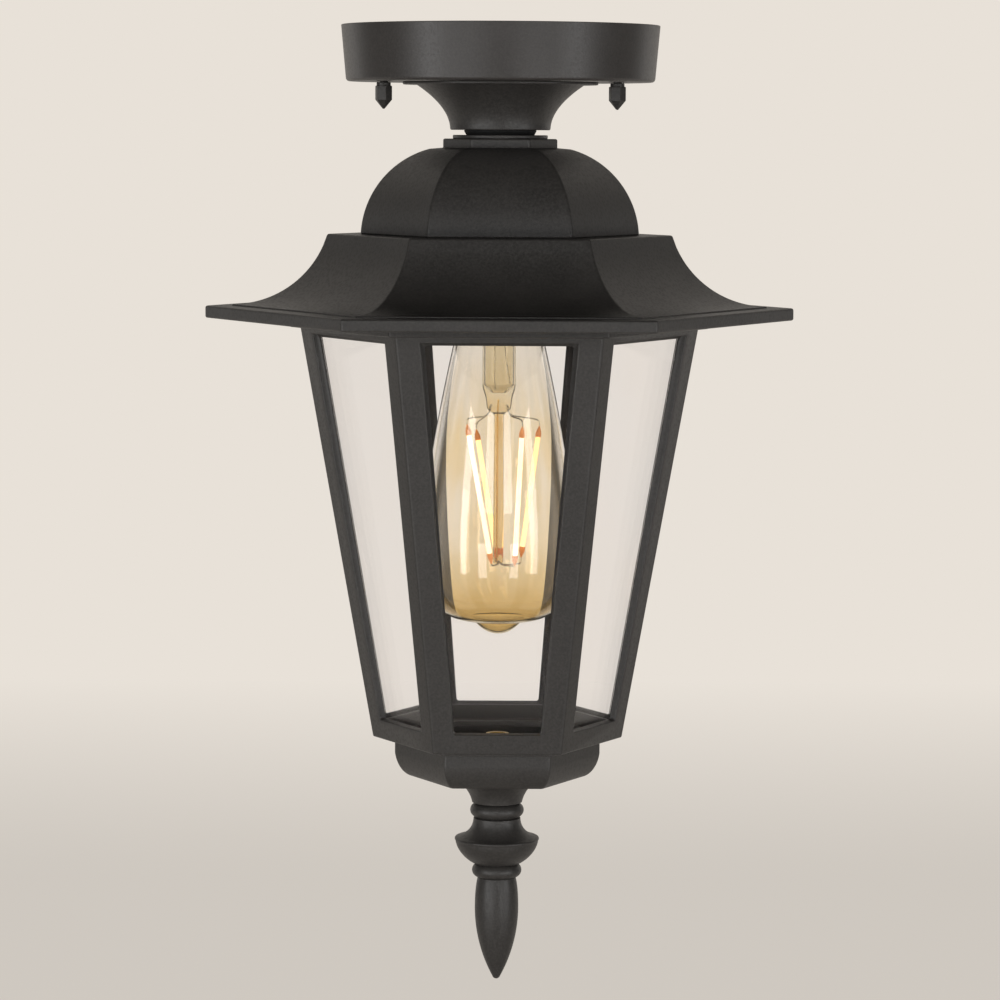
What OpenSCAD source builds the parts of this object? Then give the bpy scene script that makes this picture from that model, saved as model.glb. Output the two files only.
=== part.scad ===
// Hexagonal porch ceiling lantern.
// Millimetres, +Z up. The origin is on the lantern's axis in the plane of the ceiling;
// the lantern hangs below it, with one flat face towards -Y.
// Radii of hexagonal pieces are measured to their corners.

/* [Ceiling canopy] */
// Diameter of the canopy at the ceiling
canopy_d = 121.2; // [116:0.1:150]
// Diameter of the canopy's flat bottom, over its rounded edge
canopy_base_d = 117.4; // [113:0.1:146]
// Height of the canopy
canopy_h = 21.4; // [19:0.1:30]
// Sheet thickness of the canopy
canopy_wall = 1; // [0.8:0.1:2]
// Radius of the canopy's bottom edge
canopy_edge_r = 1.4; // [1.2:0.1:4]

/* [Mounting straps] */
// Spacing of the outlet box's two screw holes
outlet_spacing = 88.9; // [80:0.1:90]
// Width of the slots for the outlet box's screws
outlet_slot_w = 4.5; // [3.8:0.1:5.2]
// End-to-end length of those slots
outlet_slot_len = 14; // [8:0.5:15]
// Width of both straps
strap_w = 16; // [14:0.5:20]
// Thickness of both straps
strap_t = 2; // [1.6:0.1:2.6]
// Metal left past the end of a slot or a stud hole
strap_margin = 2.4; // [1.5:0.1:3]
// Radius of the eyelet that the straps turn on
eyelet_r = 5; // [4.5:0.1:5.6]
// Radius of the eyelet's bore
eyelet_bore_r = 4; // [3:0.1:4.1]
// How far the eyelet's flanges stand out past its barrel
eyelet_flange_w = 1.6; // [1:0.1:2]
// Thickness of the eyelet's flanges
eyelet_flange_t = 0.7; // [0.5:0.1:0.9]
// Distance of the ground screw from the axis
ground_screw_at = 28; // [26:0.5:30]

/* [Canopy studs and cap nuts] */
// Spacing of the two canopy studs
stud_spacing = 88.9; // [84:0.1:92]
// Radius of the studs
stud_r = 1.75; // [1.5:0.05:2]
// Length of a stud below the canopy
stud_reach = 5.5; // [4:0.1:6]
// Radius of a cap nut's round collar
cap_nut_collar_r = 2.7; // [2.5:0.1:3]
// Height of that collar
cap_nut_collar_h = 1.3; // [0.8:0.1:2]
// Radius of a cap nut over its corners
cap_nut_r = 3.35; // [3:0.05:4]
// Height of a cap nut's straight hexagon
cap_nut_hex_h = 5.4; // [5:0.1:8]
// Height of a cap nut's point
cap_nut_point_h = 3.4; // [2:0.1:6]
// Turn of the cap nuts' corners about their own axis
cap_nut_turn = -14; // [-30:1:30]
// Radius of a stud's lock nut over its corners
stud_nut_r = 4; // [3.5:0.1:5]
// Height of a stud's lock nut
stud_nut_h = 3; // [2:0.1:4]

/* [Neck] */
// Radius of the neck's flange under the canopy
neck_flange_r = 37.2; // [34:0.1:42]
// Thickness of that flange
neck_flange_t = 1.1; // [0.8:0.1:2.5]
// Radius of the trumpet where it leaves the flange
neck_top_r = 32; // [26:0.1:33.5]
// Radius of the trumpet at its foot
neck_foot_r = 19.1; // [16:0.1:24]
// Height of the trumpet below the flange
neck_h = 17.1; // [12:0.1:30]
// Wall of the hollow neck
neck_wall = 3; // [2:0.1:5]
// Thickness of the neck's foot
neck_foot_t = 4; // [2:0.1:8]

/* [Nipple and its nuts] */
// Radius of the threaded nipples
nipple_r = 4.85; // [4.5:0.05:5.2]
// Radius of the nipples' bore
nipple_bore_r = 3.2; // [2.6:0.1:3.6]
// Radius over the corners of the nuts on the nipples
nipple_nut_r = 8; // [7:0.1:9]
// Height of those nuts
nipple_nut_h = 3; // [2:0.1:3.4]
// Radius of the washers under those nuts
washer_r = 9.5; // [8.5:0.1:11]
// Thickness of those washers
washer_t = 1; // [0.8:0.1:1.5]
// Thread left past each nut
nipple_spare = 2.2; // [1:0.1:3]

/* [Seal and collar plate] */
// Radius of the black seal washer at its top
seal_top_r = 14; // [12:0.1:17]
// Radius of the seal washer at its foot
seal_foot_r = 13; // [12:0.1:17]
// Thickness of the seal washer
seal_t = 1.9; // [1:0.1:4]
// Radius of the thin round plate on the dome
plate_r = 18.1; // [15:0.1:21]
// Thickness of that plate
plate_t = 1.4; // [0.8:0.1:3]

/* [Dome] */
// Radius of the low hexagonal collar on the dome
collar_r = 22; // [19:0.1:24]
// Height of that collar
collar_h = 3.5; // [2:0.1:6]
// Radius of the dome's foot
dome_r = 53.4; // [51.5:0.1:56]
// Height of the dome
dome_h = 32.9; // [30:0.1:40]
// How far the dome's foot lies above the middle of its arc
dome_drop = 1.7; // [0:0.1:4]
// How much of the arc's crown the collar hides
dome_crown = 0.8; // [0.4:0.1:3]
// Wall of the dome
dome_wall = 2.2; // [1.8:0.1:3]

/* [Roof skirt] */
// Radius of the roof's flat top ledge
roof_top_r = 66; // [63:0.1:68]
// Radius where the roof's flare ends on the rim
roof_foot_r = 102.4; // [96:0.1:106]
// Height of the flare
roof_h = 27; // [25:0.1:34]
// Step from the flare down to the rim's flat top
rim_step = 0.6; // [0.3:0.1:1.5]
// Width of the flat rim outside the flare
rim_w = 10.3; // [8:0.1:14]
// Height of the rim's edge
rim_h = 4.7; // [3:0.1:8]
// Width of the lip that hangs round the rim
rim_lip_w = 3.4; // [2.5:0.1:4.5]
// Wall of the roof
roof_wall = 2.2; // [1.8:0.1:2.6]
// Radius of the hexagonal opening in the roof's top ledge
roof_hole_r = 42; // [41:0.1:43]

/* [Cage] */
// How far the cage's top flange shows below the rim
tier_drop = 3.4; // [3:0.1:6]
// Radius of the cage's top flange
tier_r = 80.3; // [79:0.1:84]
// Height of the cage below that flange
cage_h = 158.4; // [150:0.1:190]
// Radius of the cage where it meets the flange
cage_top_r = 76.1; // [74:0.1:78]
// Radius of the cage at its bottom
cage_base_r = 48; // [46:0.1:54]
// Depth of the frame from its face to the glass lip
reveal_depth = 1.8; // [1.4:0.1:2.6]
// Thickness of the glass lip
lip_t = 0.8; // [0.6:0.1:1.2]
// Width of the frame beside a corner, at the windows' top
stile_w = 8.9; // [8.4:0.1:9.4]
// Width of the frame beside a corner, at the windows' bottom
stile_base_w = 8.1; // [7.6:0.1:8.6]
// Width that the glass lip adds at the sides, at the windows' top
lip_w = 1.6; // [1.2:0.1:2]
// Width that the glass lip adds at the sides, at the windows' bottom
lip_base_w = 0.4; // [0.3:0.1:0.8]
// Width that the glass lip adds at the top
lip_top_w = 1.4; // [0.8:0.1:2]
// Strip of the frame's face that shows under the top flange
head_strip = 2.1; // [1.2:0.1:3]
// Height of the bottom rail
rail_h = 7.7; // [7:0.1:12]
// Thickness of the cage's bottom flange
floor_t = 2; // [1.6:0.1:2.4]
// Radius of the opening in the bottom flange
floor_hole_r = 31; // [30:0.1:31.5]

/* [Glass] */
// Thickness of the glass
glass_t = 2.5; // [2:0.1:3]
// How far a pane reaches behind its lip at the sides
glass_lap = 3.2; // [2.4:0.1:3.4]
// Distance of a pane's top edge below the cage's top flange
glass_top_gap = 0.3; // [0.2:0.05:0.5]
// Thickness of the rib on the cage's floor that the panes stand in front of
rib_t = 1.6; // [1.2:0.1:2]
// How far that rib ends below the windows
rib_drop = 0.4; // [0.2:0.1:1]
// Width of a pane clip across its corner
clip_w = 12; // [11:0.1:14]
// Height of a pane clip
clip_h = 7; // [6.5:0.1:8]
// Thickness of a pane clip
clip_t = 1; // [0.8:0.1:1.4]
// Radius of a pane clip's screw
clip_screw_r = 1.25; // [1:0.05:1.4]
// Radius of that screw's head
clip_head_r = 2.2; // [1.8:0.1:2.6]
// Height of that screw's head
clip_head_h = 1.4; // [1:0.1:1.8]
// Depth of thread that the screw has in its boss
clip_screw_grip = 6; // [4:0.5:7]
// Radius of the boss that it goes into
clip_boss_r = 2.1; // [1.8:0.1:2.4]

/* [Bottom cup] */
// Radius of the cup's thin top flange
cup_flange_r = 41.7; // [41:0.1:46]
// Thickness of that flange
cup_flange_t = 1.5; // [1:0.1:2.5]
// Radius of the cup below its flange
cup_r = 39.8; // [39:0.1:41]
// Height of the cup
cup_h = 15; // [14:0.1:20]
// Radius of the cup's flat underside
cup_foot_r = 34.2; // [32:0.1:36]
// Wall of the cup
cup_wall = 2; // [1.6:0.1:2.4]

/* [Finial] */
// Radius of the finial's top
finial_top_r = 15.5; // [14:0.1:17]
// Radius of its narrow waists
finial_waist_r = 9.1; // [8.5:0.1:10]
// Height of the cove under its top
finial_cove_h = 10.4; // [9:0.1:12]
// Radius of the upper ring
finial_ring_r = 10.4; // [10:0.1:12]
// Height of both rings
finial_ring_h = 5.4; // [4:0.1:7]
// Height of the flare below the upper ring
finial_flare_h = 8; // [6:0.1:12]
// Radius of the sharp lip
finial_lip_r = 16.35; // [14:0.1:20]
// Height of the lip's edge
finial_lip_h = 1; // [0.6:0.1:3]
// Height of the bowl under the lip
finial_bowl_h = 9.2; // [7:0.1:14]
// Radius of the lower ring
finial_lower_ring_r = 9.6; // [9.3:0.1:11]
// Radius of the drop where it leaves the lower ring
finial_drop_neck_r = 7.4; // [6:0.1:8]
// Largest radius of the drop
finial_drop_r = 8.46; // [8:0.02:10]
// Height of the drop
finial_drop_h = 40.4; // [30:0.1:60]
// Radius of the drop's tip
finial_tip_r = 1.6; // [1:0.1:3]
// Depth of the threaded hole in the finial's top
finial_hole_h = 8; // [5:0.1:10]
// How far the finial's nipple stands above the cup
finial_nipple_rise = 1.8; // [0.5:0.1:3]

/* [Socket] */
// Radius of the socket
socket_r = 18; // [17.5:0.1:19]
// Length of the socket below its cap
socket_h = 41; // [39:0.1:44]
// Thickness of the socket's closed top
socket_top_t = 4; // [3:0.1:5]
// Radius of the socket's cap
socket_cap_r = 16; // [15:0.1:17.5]
// Height of the socket's cap
socket_cap_h = 6; // [5.5:0.1:8]
// Wall of the socket's cap
socket_cap_wall = 2; // [1.6:0.1:2.4]
// Thickness of the threaded brass shell
shell_t = 0.5; // [0.4:0.05:0.8]
// Distance of the shell's end from the socket's open end
shell_inset = 3.5; // [2:0.1:6]
// Step by which the socket widens past the shell
socket_step = 1.5; // [1:0.1:2]
// Distance of the socket screws from the axis
socket_screw_at = 10; // [9.5:0.1:10.5]
// Thickness of the spring leaf that touches the bulb
contact_t = 0.8; // [0.5:0.1:1.2]
// Distance of the leaf's underside below the socket's closed top
contact_drop = 3; // [2:0.1:4]
// Radius of the rivet that holds the leaf
rivet_r = 0.6; // [0.5:0.05:0.65]

/* [Bulb] */
// Radius over the thread of the bulb's base
bulb_base_r = 13.1; // [12.9:0.05:13.3]
// Height of the bulb's threaded base
bulb_base_h = 26; // [24:0.1:28]
// Depth of the base's thread
bulb_thread_t = 0.8; // [0.6:0.05:1]
// Plain metal above and below that thread
bulb_thread_end = 2; // [1:0.1:3]
// Wall of the base, thread included
bulb_base_wall = 1.6; // [1.3:0.05:2]
// Width of the sloping shoulder round the insulator
base_shoulder_w = 3; // [2:0.1:4]
// Height of the black insulator above the base
insulator_h = 3.6; // [3:0.1:4.5]
// Radius of the insulator's top
insulator_r = 7; // [5:0.1:8]
// Radius of the bulb's contact
bulb_contact_r = 4.4; // [3:0.1:5]
// Height of the bulb's contact
bulb_contact_h = 0.8; // [0.5:0.1:1.2]
// Largest radius of the glass envelope
bulb_r = 29; // [26:0.1:31]
// Distance from the base down to the widest place
bulb_shoulder_h = 101.5; // [90:0.1:106]
// Height of the bottom dome of the envelope
bulb_bottom_h = 27.5; // [22:0.1:31]
// Radius of the pulled teat under the envelope
teat_r = 10.5; // [8:0.1:12]
// Height of the teat
teat_h = 5.2; // [3:0.1:6]
// Wall of the envelope
bulb_wall = 0.9; // [0.6:0.05:1.2]
// Radius of the glass stem
stem_r = 6.4; // [5.5:0.1:7]
// Length of the stem below the base
stem_h = 39; // [34:0.1:44]
// Radius of the stem's pinch
pinch_r = 5.5; // [4:0.1:6]
// Height of the pinch
pinch_h = 8; // [5:0.1:10]
// Radius of the glass rod below the pinch
rod_r = 1.95; // [1.5:0.05:2.5]
// Distance of the filaments' upper ends below the pinch
filament_drop = 6; // [3:0.1:8]
// Height that the filaments span
filament_len = 54; // [45:0.5:56]
// Radius of a filament
filament_r = 0.8; // [0.5:0.05:1.2]
// Height of a filament's end cap
filament_cap_h = 2.6; // [1.5:0.1:4]
// Half spread of the filaments' upper ends, across and in depth
filament_top = [11.2, 8]; // [4:0.1:14]
// How far each of those ends lies to the right of its corner: front left, front right, rear right, rear left
filament_top_shift = [0.6, -0.2, 3, 0.4]; // [-1:0.1:4]
// How far each of those ends hangs under the highest
filament_top_fall = [0, 0.4, 1.4, 3.2]; // [0:0.1:4]
// Half spread of the filaments' lower ends, across and in depth
filament_foot = [5.5, 4]; // [3:0.1:10]
// How far each of those ends lies to the right of its corner, in the same order
filament_foot_shift = [3.7, 1.8, 2.5, 4.1]; // [0:0.1:5]
// How far each of those ends lies over the glass rod's end
filament_foot_rise = [0, -0.5, 2, 1.2]; // [-1:0.1:3]
// Turn of the filaments about the axis
filament_turn = -13; // [-45:1:45]
// Radius of the support wires
wire_r = 0.35; // [0.25:0.05:0.5]

/* [Screws] */
// Radius of the small machine screws
screw_r = 1.5; // [1.2:0.05:1.6]
// Radius of their heads
screw_head_r = 2.8; // [2.4:0.1:3]
// Height of their heads
screw_head_h = 2; // [1.4:0.1:2.2]
// Radius of the bosses that they go into
boss_r = 3.8; // [3.4:0.1:4]
// Depth of thread that the roof's screws have in the dome
roof_screw_grip = 6; // [4:0.5:10]
// Height of the dome's bosses
dome_boss_h = 16; // [12:0.5:20]
// Height of the cup's bosses
cup_boss_h = 8; // [6:0.5:10]
// Solid metal left under the cup's screw holes
boss_end_t = 1.5; // [1:0.1:2.5]
// Radius of the cage's three long screws
cage_screw_r = 1.9; // [1.6:0.05:2.1]
// Depth of thread that those screws have in the roof's bosses
cage_screw_grip = 12; // [8:0.5:16]
// Radius of those screws' heads
cage_head_r = 3.5; // [3:0.1:3.8]
// Height of those screws' heads
cage_head_h = 2.6; // [2:0.1:3.2]
// Radius of the ears that those screws pass through
ear_r = 5.2; // [4.6:0.1:5.6]
// Width of the web between an ear and the cage's wall
ear_web_w = 8; // [6:0.1:9]
// Thickness of those ears
ear_t = 3; // [2.4:0.1:3.2]
// Distance of those screws from the axis
cage_screw_at = 54.5; // [54:0.1:55]

/* [Wiring] */
// Radius of an insulated lead
lead_r = 1.1; // [0.8:0.05:1.3]
// Radius of a lead's bend
lead_bend_r = 4; // [3:0.1:4.5]
// Distance from the axis to the end of a lead
lead_reach = 24; // [20:0.5:30]
// Radius of a wire connector
connector_r = 4; // [3:0.1:4.2]
// Length of a wire connector
connector_len = 16; // [12:0.5:20]

/* [Clearances] */
// Gap between pieces of different bodies that rest close together
rest_gap = 0.3; // [0.2:0.05:0.5]
// Radial clearance of a shaft that turns or slides in a hole
running_gap = 0.08; // [0.03:0.01:0.1]
// Radial clearance of a screw's free hole
hole_gap = 0.3; // [0.2:0.05:0.4]

/* [Hidden] */
$fn = 64;
sides = 6;
sector = 360 / sides;
half_sector = sector / 2;
// faces over which the three roof screws, and the three cage screws, lie
roof_screw_turn = half_sector;
cage_screw_turn = -half_sector;
// cuts run this far past the solid that they cut
eps = 0.5;

// colours
CAST = [0.25, 0.24, 0.23];
PAN = [0.30, 0.29, 0.28];
BLACK = [0.08, 0.08, 0.08];
ZINC = [0.70, 0.71, 0.72];
BRASS = [0.75, 0.60, 0.30];
PORCELAIN = [0.90, 0.89, 0.86];
CLEAR = [0.80, 0.85, 0.85, 0.35];
AMBER = [0.85, 0.70, 0.45, 0.40];
GLOW = [1.00, 0.85, 0.55];

// heights, from the ceiling down
canopy_z = -canopy_h;
flange_z = canopy_z - neck_flange_t;
neck_z = flange_z - neck_h;
seal_z = neck_z - seal_t;
plate_z = seal_z - plate_t;
collar_z = plate_z - collar_h;
roof_z = collar_z - dome_h;
flare_z = roof_z - roof_h;
rim_z = flare_z - rim_step;
rim_r = roof_foot_r + rim_w;
rim_base_z = rim_z - rim_h;
tier_z = rim_base_z - tier_drop;
cage_z = tier_z - cage_h;
cup_z = cage_z - cup_h;
finial_z = cup_z - rest_gap;

// straps: the swivelling one hangs just below the fixed one
swivel_z = -strap_t - rest_gap;
swivel_base_z = swivel_z - strap_t;
eyelet_base_z = swivel_base_z - rest_gap - eyelet_flange_t;
eyelet_flange_r = eyelet_r + eyelet_flange_w;
outlet_slot_r = outlet_slot_w / 2;
box_strap_len = outlet_spacing + outlet_slot_len + 2 * strap_margin;
canopy_strap_len = stud_spacing + 2 * (stud_r + hole_gap + strap_margin);
stud_at = stud_spacing / 2;
stud_base_z = canopy_z - stud_reach;

// upper nipple: from its nut in the canopy down into the socket's cap
canopy_floor_z = canopy_z + canopy_wall;
nipple_top_z = canopy_floor_z + washer_t + nipple_nut_h + nipple_spare;
dome_ceiling_z = collar_z - dome_wall;
dome_nut_z = dome_ceiling_z - washer_t - nipple_nut_h;
socket_cap_z = dome_nut_z - nipple_spare;
socket_z = socket_cap_z - socket_cap_h;
socket_base_z = socket_z - socket_h;
shell_r = bulb_base_r + running_gap + rest_gap;
socket_bore_r = shell_r + shell_t;
shell_top_z = socket_z - socket_top_t;
shell_base_z = socket_base_z + shell_inset;
contact_z = shell_top_z - contact_drop;

// bulb: its contact rests just under the socket's contact
bulb_top_z = contact_z - rest_gap;
insulator_z = bulb_top_z - bulb_contact_h;
base_top_z = insulator_z - insulator_h;
base_z = base_top_z - bulb_base_h;
bulb_wide_z = base_z - bulb_shoulder_h;
teat_z = bulb_wide_z - bulb_bottom_h;
bulb_tip_z = teat_z - teat_h;
stem_z = base_z - stem_h;
pinch_z = stem_z - pinch_h;

// dome and roof arcs
dome_arc_r = dome_h + dome_drop + dome_crown;
dome_arc_x = dome_r - sqrt(pow(dome_arc_r, 2) - pow(dome_drop, 2));
dome_arc_z = roof_z - dome_drop;
roof_arc_r = (pow(roof_foot_r - roof_top_r, 2) + pow(roof_h, 2)) / (2 * roof_h);
roof_arc_z = flare_z + roof_arc_r;
roof_screw_at = (roof_hole_r * cos(half_sector) + (dome_r - dome_wall) * cos(half_sector)) / 2;
ledge_z = roof_z - roof_wall;

// cage: slope of its corners and of its faces
corner_slope = (cage_top_r - cage_base_r) / cage_h;
corner_tilt = atan(corner_slope);
face_tilt = atan(corner_slope * cos(half_sector));
face_top_a = cage_top_r * cos(half_sector);
face_len = cage_h / cos(face_tilt);
tier_top_z = rim_base_z + rest_gap;
wall_t = (reveal_depth + lip_t) / cos(face_tilt);
wall_r = wall_t / cos(half_sector);
sill_w = -face_len + rail_h / cos(face_tilt);
glass_depth = reveal_depth + lip_t;
// insets of the clear openings from the faces' sides, at the bottom and at the top
lip_insets = [stile_base_w + lip_base_w, stile_w + lip_w];
glass_top_w = -glass_top_gap;
glass_foot_w = (cage_z + floor_t + rest_gap - tier_z - glass_depth * sin(face_tilt)) / cos(face_tilt);
// the rib's inset from the cage's outer corners, and its thickness measured at a corner
rib_inset = (glass_depth + glass_t + rest_gap) / cos(face_tilt) / cos(half_sector);
rib_r = rib_t / cos(face_tilt) / cos(half_sector);
rib_top_z = cage_z + rail_h - rib_drop;
boss_z = tier_top_z + rest_gap;
cage_screw_top_z = boss_z + cage_screw_grip;
// the clip's edges touch both panes: its distance from the post's inner corner
clip_stand = clip_distance();

// cup
cup_floor_z = cup_z + cup_wall;
cup_screw_at = floor_hole_r * cos(half_sector) + boss_r - 0.4;
cup_screw_end_z = cage_z - cup_boss_h + boss_end_t;
finial_nipple_top_z = cage_z + finial_nipple_rise;
finial_nut_z = cup_floor_z + washer_t;

// ---------------------------------------------------------------- helpers

function bezier(a, b, c, d, n = 10) =
    [for (i = [0:n]) let (t = i / n, s = 1 - t)
        s * s * s * a + 3 * s * s * t * b + 3 * s * t * t * c + t * t * t * d];

function arc(x, y, r, start, end, n = 12) =
    [for (i = [0:n]) let (a = start + (end - start) * i / n) [x + r * cos(a), y + r * sin(a)]];

// distance from the axis to a hexagon's flat, for a corner radius
function flat(r) = r * cos(half_sector);

// corner radius of the cage's outer faces at a height
function cage_r(z) = cage_base_r + (z - cage_z) * corner_slope;

// half width of a cage face at a distance w up its slope from the tier (negative is down)
function face_half(w) = (face_top_a + w * sin(face_tilt)) * tan(half_sector);

// solid hexagonal loft through rings of [corner radius, height], from the top down
module hex_loft(rings) {
    count = len(rings);
    points = [for (ring = rings) for (k = [0:sides - 1])
        [ring[0] * cos(sector * k), ring[0] * sin(sector * k), ring[1]]];
    walls = [for (i = [0:count - 2]) for (k = [0:sides - 1]) let (next = (k + 1) % sides)
        [sides * i + k, sides * i + next, sides * (i + 1) + next, sides * (i + 1) + k]];
    top = [for (k = [sides - 1:-1:0]) k];
    bottom = [for (k = [0:sides - 1]) sides * (count - 1) + k];
    polyhedron(points, concat([top], walls, [bottom]), convexity = 6);
}

// upright cylinder between two heights
module rod(r, low, high) {
    translate([0, 0, low])
        cylinder(r = r, h = high - low);
}

// hexagonal nut with a round bore, standing on a height
module hex_nut(r, bore, low, h) {
    difference() {
        translate([0, 0, low])
            cylinder(r = r, h = h, $fn = sides);
        rod(bore, low - eps, low + h + eps);
    }
}

module ring(outer, bore, low, high) {
    difference() {
        rod(outer, low, high);
        rod(bore, low - eps, high + eps);
    }
}

// straight round wire between two points
module wire(a, b, r) {
    run = b - a;
    span = norm(run);
    translate(a)
        rotate([0, acos(run[2] / span), atan2(run[1], run[0])])
            cylinder(r = r, h = span, $fn = 16);
}

// copies at every other face or at every other face in between
module at_three(first, distance) {
    for (k = [0:2])
        rotate([0, 0, first + 120 * k])
            translate([distance, 0, 0])
                children();
}

// frame of a cage face: X out of the face, Y along it, Z up its slope from the tier
module on_face(k) {
    rotate([0, 0, sector * k - 90])
        translate([face_top_a, 0, tier_z])
            rotate([0, face_tilt, 0])
                children();
}

// frame of a cage corner: X outwards, Z up its slope, at a height
module on_corner(k, z) {
    rotate([0, 0, sector * k])
        translate([cage_r(z), 0, z])
            rotate([0, corner_tilt, 0])
                children();
}

// plate cut from a face: side insets at its lower and upper ends, those ends, and depth from the face
module face_plate(insets, low, high, depth, thick) {
    translate([-depth - thick, 0, 0])
        rotate([90, 0, 90])
            linear_extrude(thick)
                polygon([
                    [insets[0] - face_half(low), low], [face_half(low) - insets[0], low],
                    [face_half(high) - insets[1], high], [insets[1] - face_half(high), high]
                ]);
}

// ---------------------------------------------------------------- mounting

module strap(length, low) {
    translate([0, 0, low])
        linear_extrude(strap_t)
            union() {
                square([length - strap_w, strap_w], center = true);
                for (side = [-1, 1])
                    translate([side * (length - strap_w) / 2, 0])
                        circle(d = strap_w);
            }
}

module box_strap() color(ZINC)
    difference() {
        rotate([0, 0, 90])
            strap(box_strap_len, -strap_t);
        for (side = [-1, 1])
            translate([0, side * outlet_spacing / 2, -strap_t - eps])
                linear_extrude(strap_t + 2 * eps)
                    union() {
                        square([outlet_slot_w, outlet_slot_len - outlet_slot_w], center = true);
                        for (end = [-1, 1])
                            translate([0, end * (outlet_slot_len - outlet_slot_w) / 2])
                                circle(r = outlet_slot_r);
                    }
        rod(eyelet_r, -strap_t - eps, eps);
        rod(eyelet_flange_r, -eyelet_flange_t, eps);
        translate([0, -ground_screw_at, 0])
            rod(screw_r, -strap_t - eps, eps);
    }

module swivel_eyelet() color(BRASS)
    difference() {
        union() {
            rod(eyelet_r, eyelet_base_z, 0);
            rod(eyelet_flange_r, -eyelet_flange_t, 0);
            rod(eyelet_flange_r, eyelet_base_z, eyelet_base_z + eyelet_flange_t);
        }
        rod(eyelet_bore_r, eyelet_base_z - eps, eps);
    }

module ground_screw() color([0.15, 0.45, 0.20])
    translate([0, -ground_screw_at, 0]) {
        rod(screw_r, -strap_t - 0.01, 0);
        translate([0, 0, -strap_t - screw_head_h])
            cylinder(r = screw_head_r, h = screw_head_h, $fn = sides);
    }

module canopy_strap() color(ZINC)
    difference() {
        strap(canopy_strap_len, swivel_base_z);
        rod(eyelet_r + running_gap, swivel_base_z - eps, swivel_z + eps);
        for (side = [-1, 1])
            translate([side * stud_at, 0, 0])
                rod(stud_r, swivel_base_z - eps, swivel_z + eps);
    }

module canopy_studs() color(ZINC)
    for (side = [-1, 1])
        translate([side * stud_at, 0, 0])
            rod(stud_r, stud_base_z, swivel_z);

module stud_lock_nuts() color(ZINC)
    for (side = [-1, 1])
        translate([side * stud_at, 0, 0])
            hex_nut(stud_nut_r, stud_r, swivel_base_z - stud_nut_h, stud_nut_h);

// ---------------------------------------------------------------- canopy and neck

// outline of the pan, a distance inside its outer surface
function pan_outline(inset) =
    let (r = canopy_base_d / 2, edge = canopy_edge_r - inset)
    concat(
        [[0, inset > 0 ? 1 : 0], [canopy_d / 2 - inset, inset > 0 ? 1 : 0]],
        arc(r - canopy_edge_r, canopy_z + canopy_edge_r, edge, 0, -90, 6),
        [[0, canopy_z + inset]]
    );

module canopy() color(PAN)
    difference() {
        rotate_extrude()
            difference() {
                polygon(pan_outline(0));
                polygon(pan_outline(canopy_wall));
            }
        rod(nipple_r, canopy_z - eps, canopy_floor_z + eps);
        for (side = [-1, 1])
            translate([side * stud_at, 0, 0])
                rod(stud_r + hole_gap, canopy_z - eps, canopy_floor_z + eps);
    }

module cap_nut(side) color(CAST)
    translate([side * stud_at, 0, canopy_z - rest_gap])
        rotate([0, 0, cap_nut_turn])
            difference() {
                union() {
                    rod(cap_nut_collar_r, -cap_nut_collar_h, 0);
                    translate([0, 0, -cap_nut_collar_h - cap_nut_hex_h])
                        cylinder(r = cap_nut_r, h = cap_nut_hex_h, $fn = sides);
                    translate([0, 0, -cap_nut_collar_h - cap_nut_hex_h - cap_nut_point_h])
                        cylinder(r1 = 0.3, r2 = cap_nut_r, h = cap_nut_point_h, $fn = sides);
                }
                rod(stud_r + running_gap, -stud_reach - rest_gap, eps);
            }

module canopy_nut_left() cap_nut(-1);

module canopy_nut_right() cap_nut(1);

// radius of the trumpet at a share t of its height below the flange
function trumpet_r(t) = neck_foot_r + (neck_top_r - neck_foot_r) * pow(1 - t, 2);

module neck() color(CAST)
    rotate_extrude()
        difference() {
            polygon(concat(
                [[nipple_r, canopy_z], [neck_flange_r, canopy_z], [neck_flange_r, flange_z]],
                [for (i = [0:16]) [trumpet_r(i / 16), flange_z - neck_h * i / 16]],
                [[nipple_r, neck_z]]
            ));
            polygon(concat(
                [[0, canopy_z + eps], [neck_top_r - neck_wall, canopy_z + eps]],
                [for (i = [0:12]) let (t = i / 12 * (1 - neck_foot_t / neck_h))
                    [trumpet_r(t) - neck_wall, flange_z - neck_h * t]],
                [[0, neck_z + neck_foot_t]]
            ));
        }

module upper_nipple() color(ZINC)
    ring(nipple_r, nipple_bore_r, socket_cap_z - socket_cap_wall, nipple_top_z);

module canopy_lock_nut() color(ZINC) {
    ring(washer_r, nipple_r, canopy_floor_z, canopy_floor_z + washer_t);
    hex_nut(nipple_nut_r, nipple_r, canopy_floor_z + washer_t, nipple_nut_h);
}

module seal_washer() color(BLACK)
    difference() {
        translate([0, 0, seal_z])
            cylinder(r1 = seal_foot_r, r2 = seal_top_r, h = seal_t);
        rod(nipple_r, seal_z - eps, neck_z + eps);
    }

module collar_plate() color(CAST)
    ring(plate_r, nipple_r, plate_z, seal_z);

// ---------------------------------------------------------------- dome and roof

// rings of the dome's surface a distance inside it, from its collar or ceiling to its foot
function dome_rings(inset, top) =
    let (r = dome_arc_r - inset, first = asin((top - dome_arc_z) / r), last = asin(dome_drop / r))
    arc(dome_arc_x, dome_arc_z, r, first, last, 16);

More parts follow.
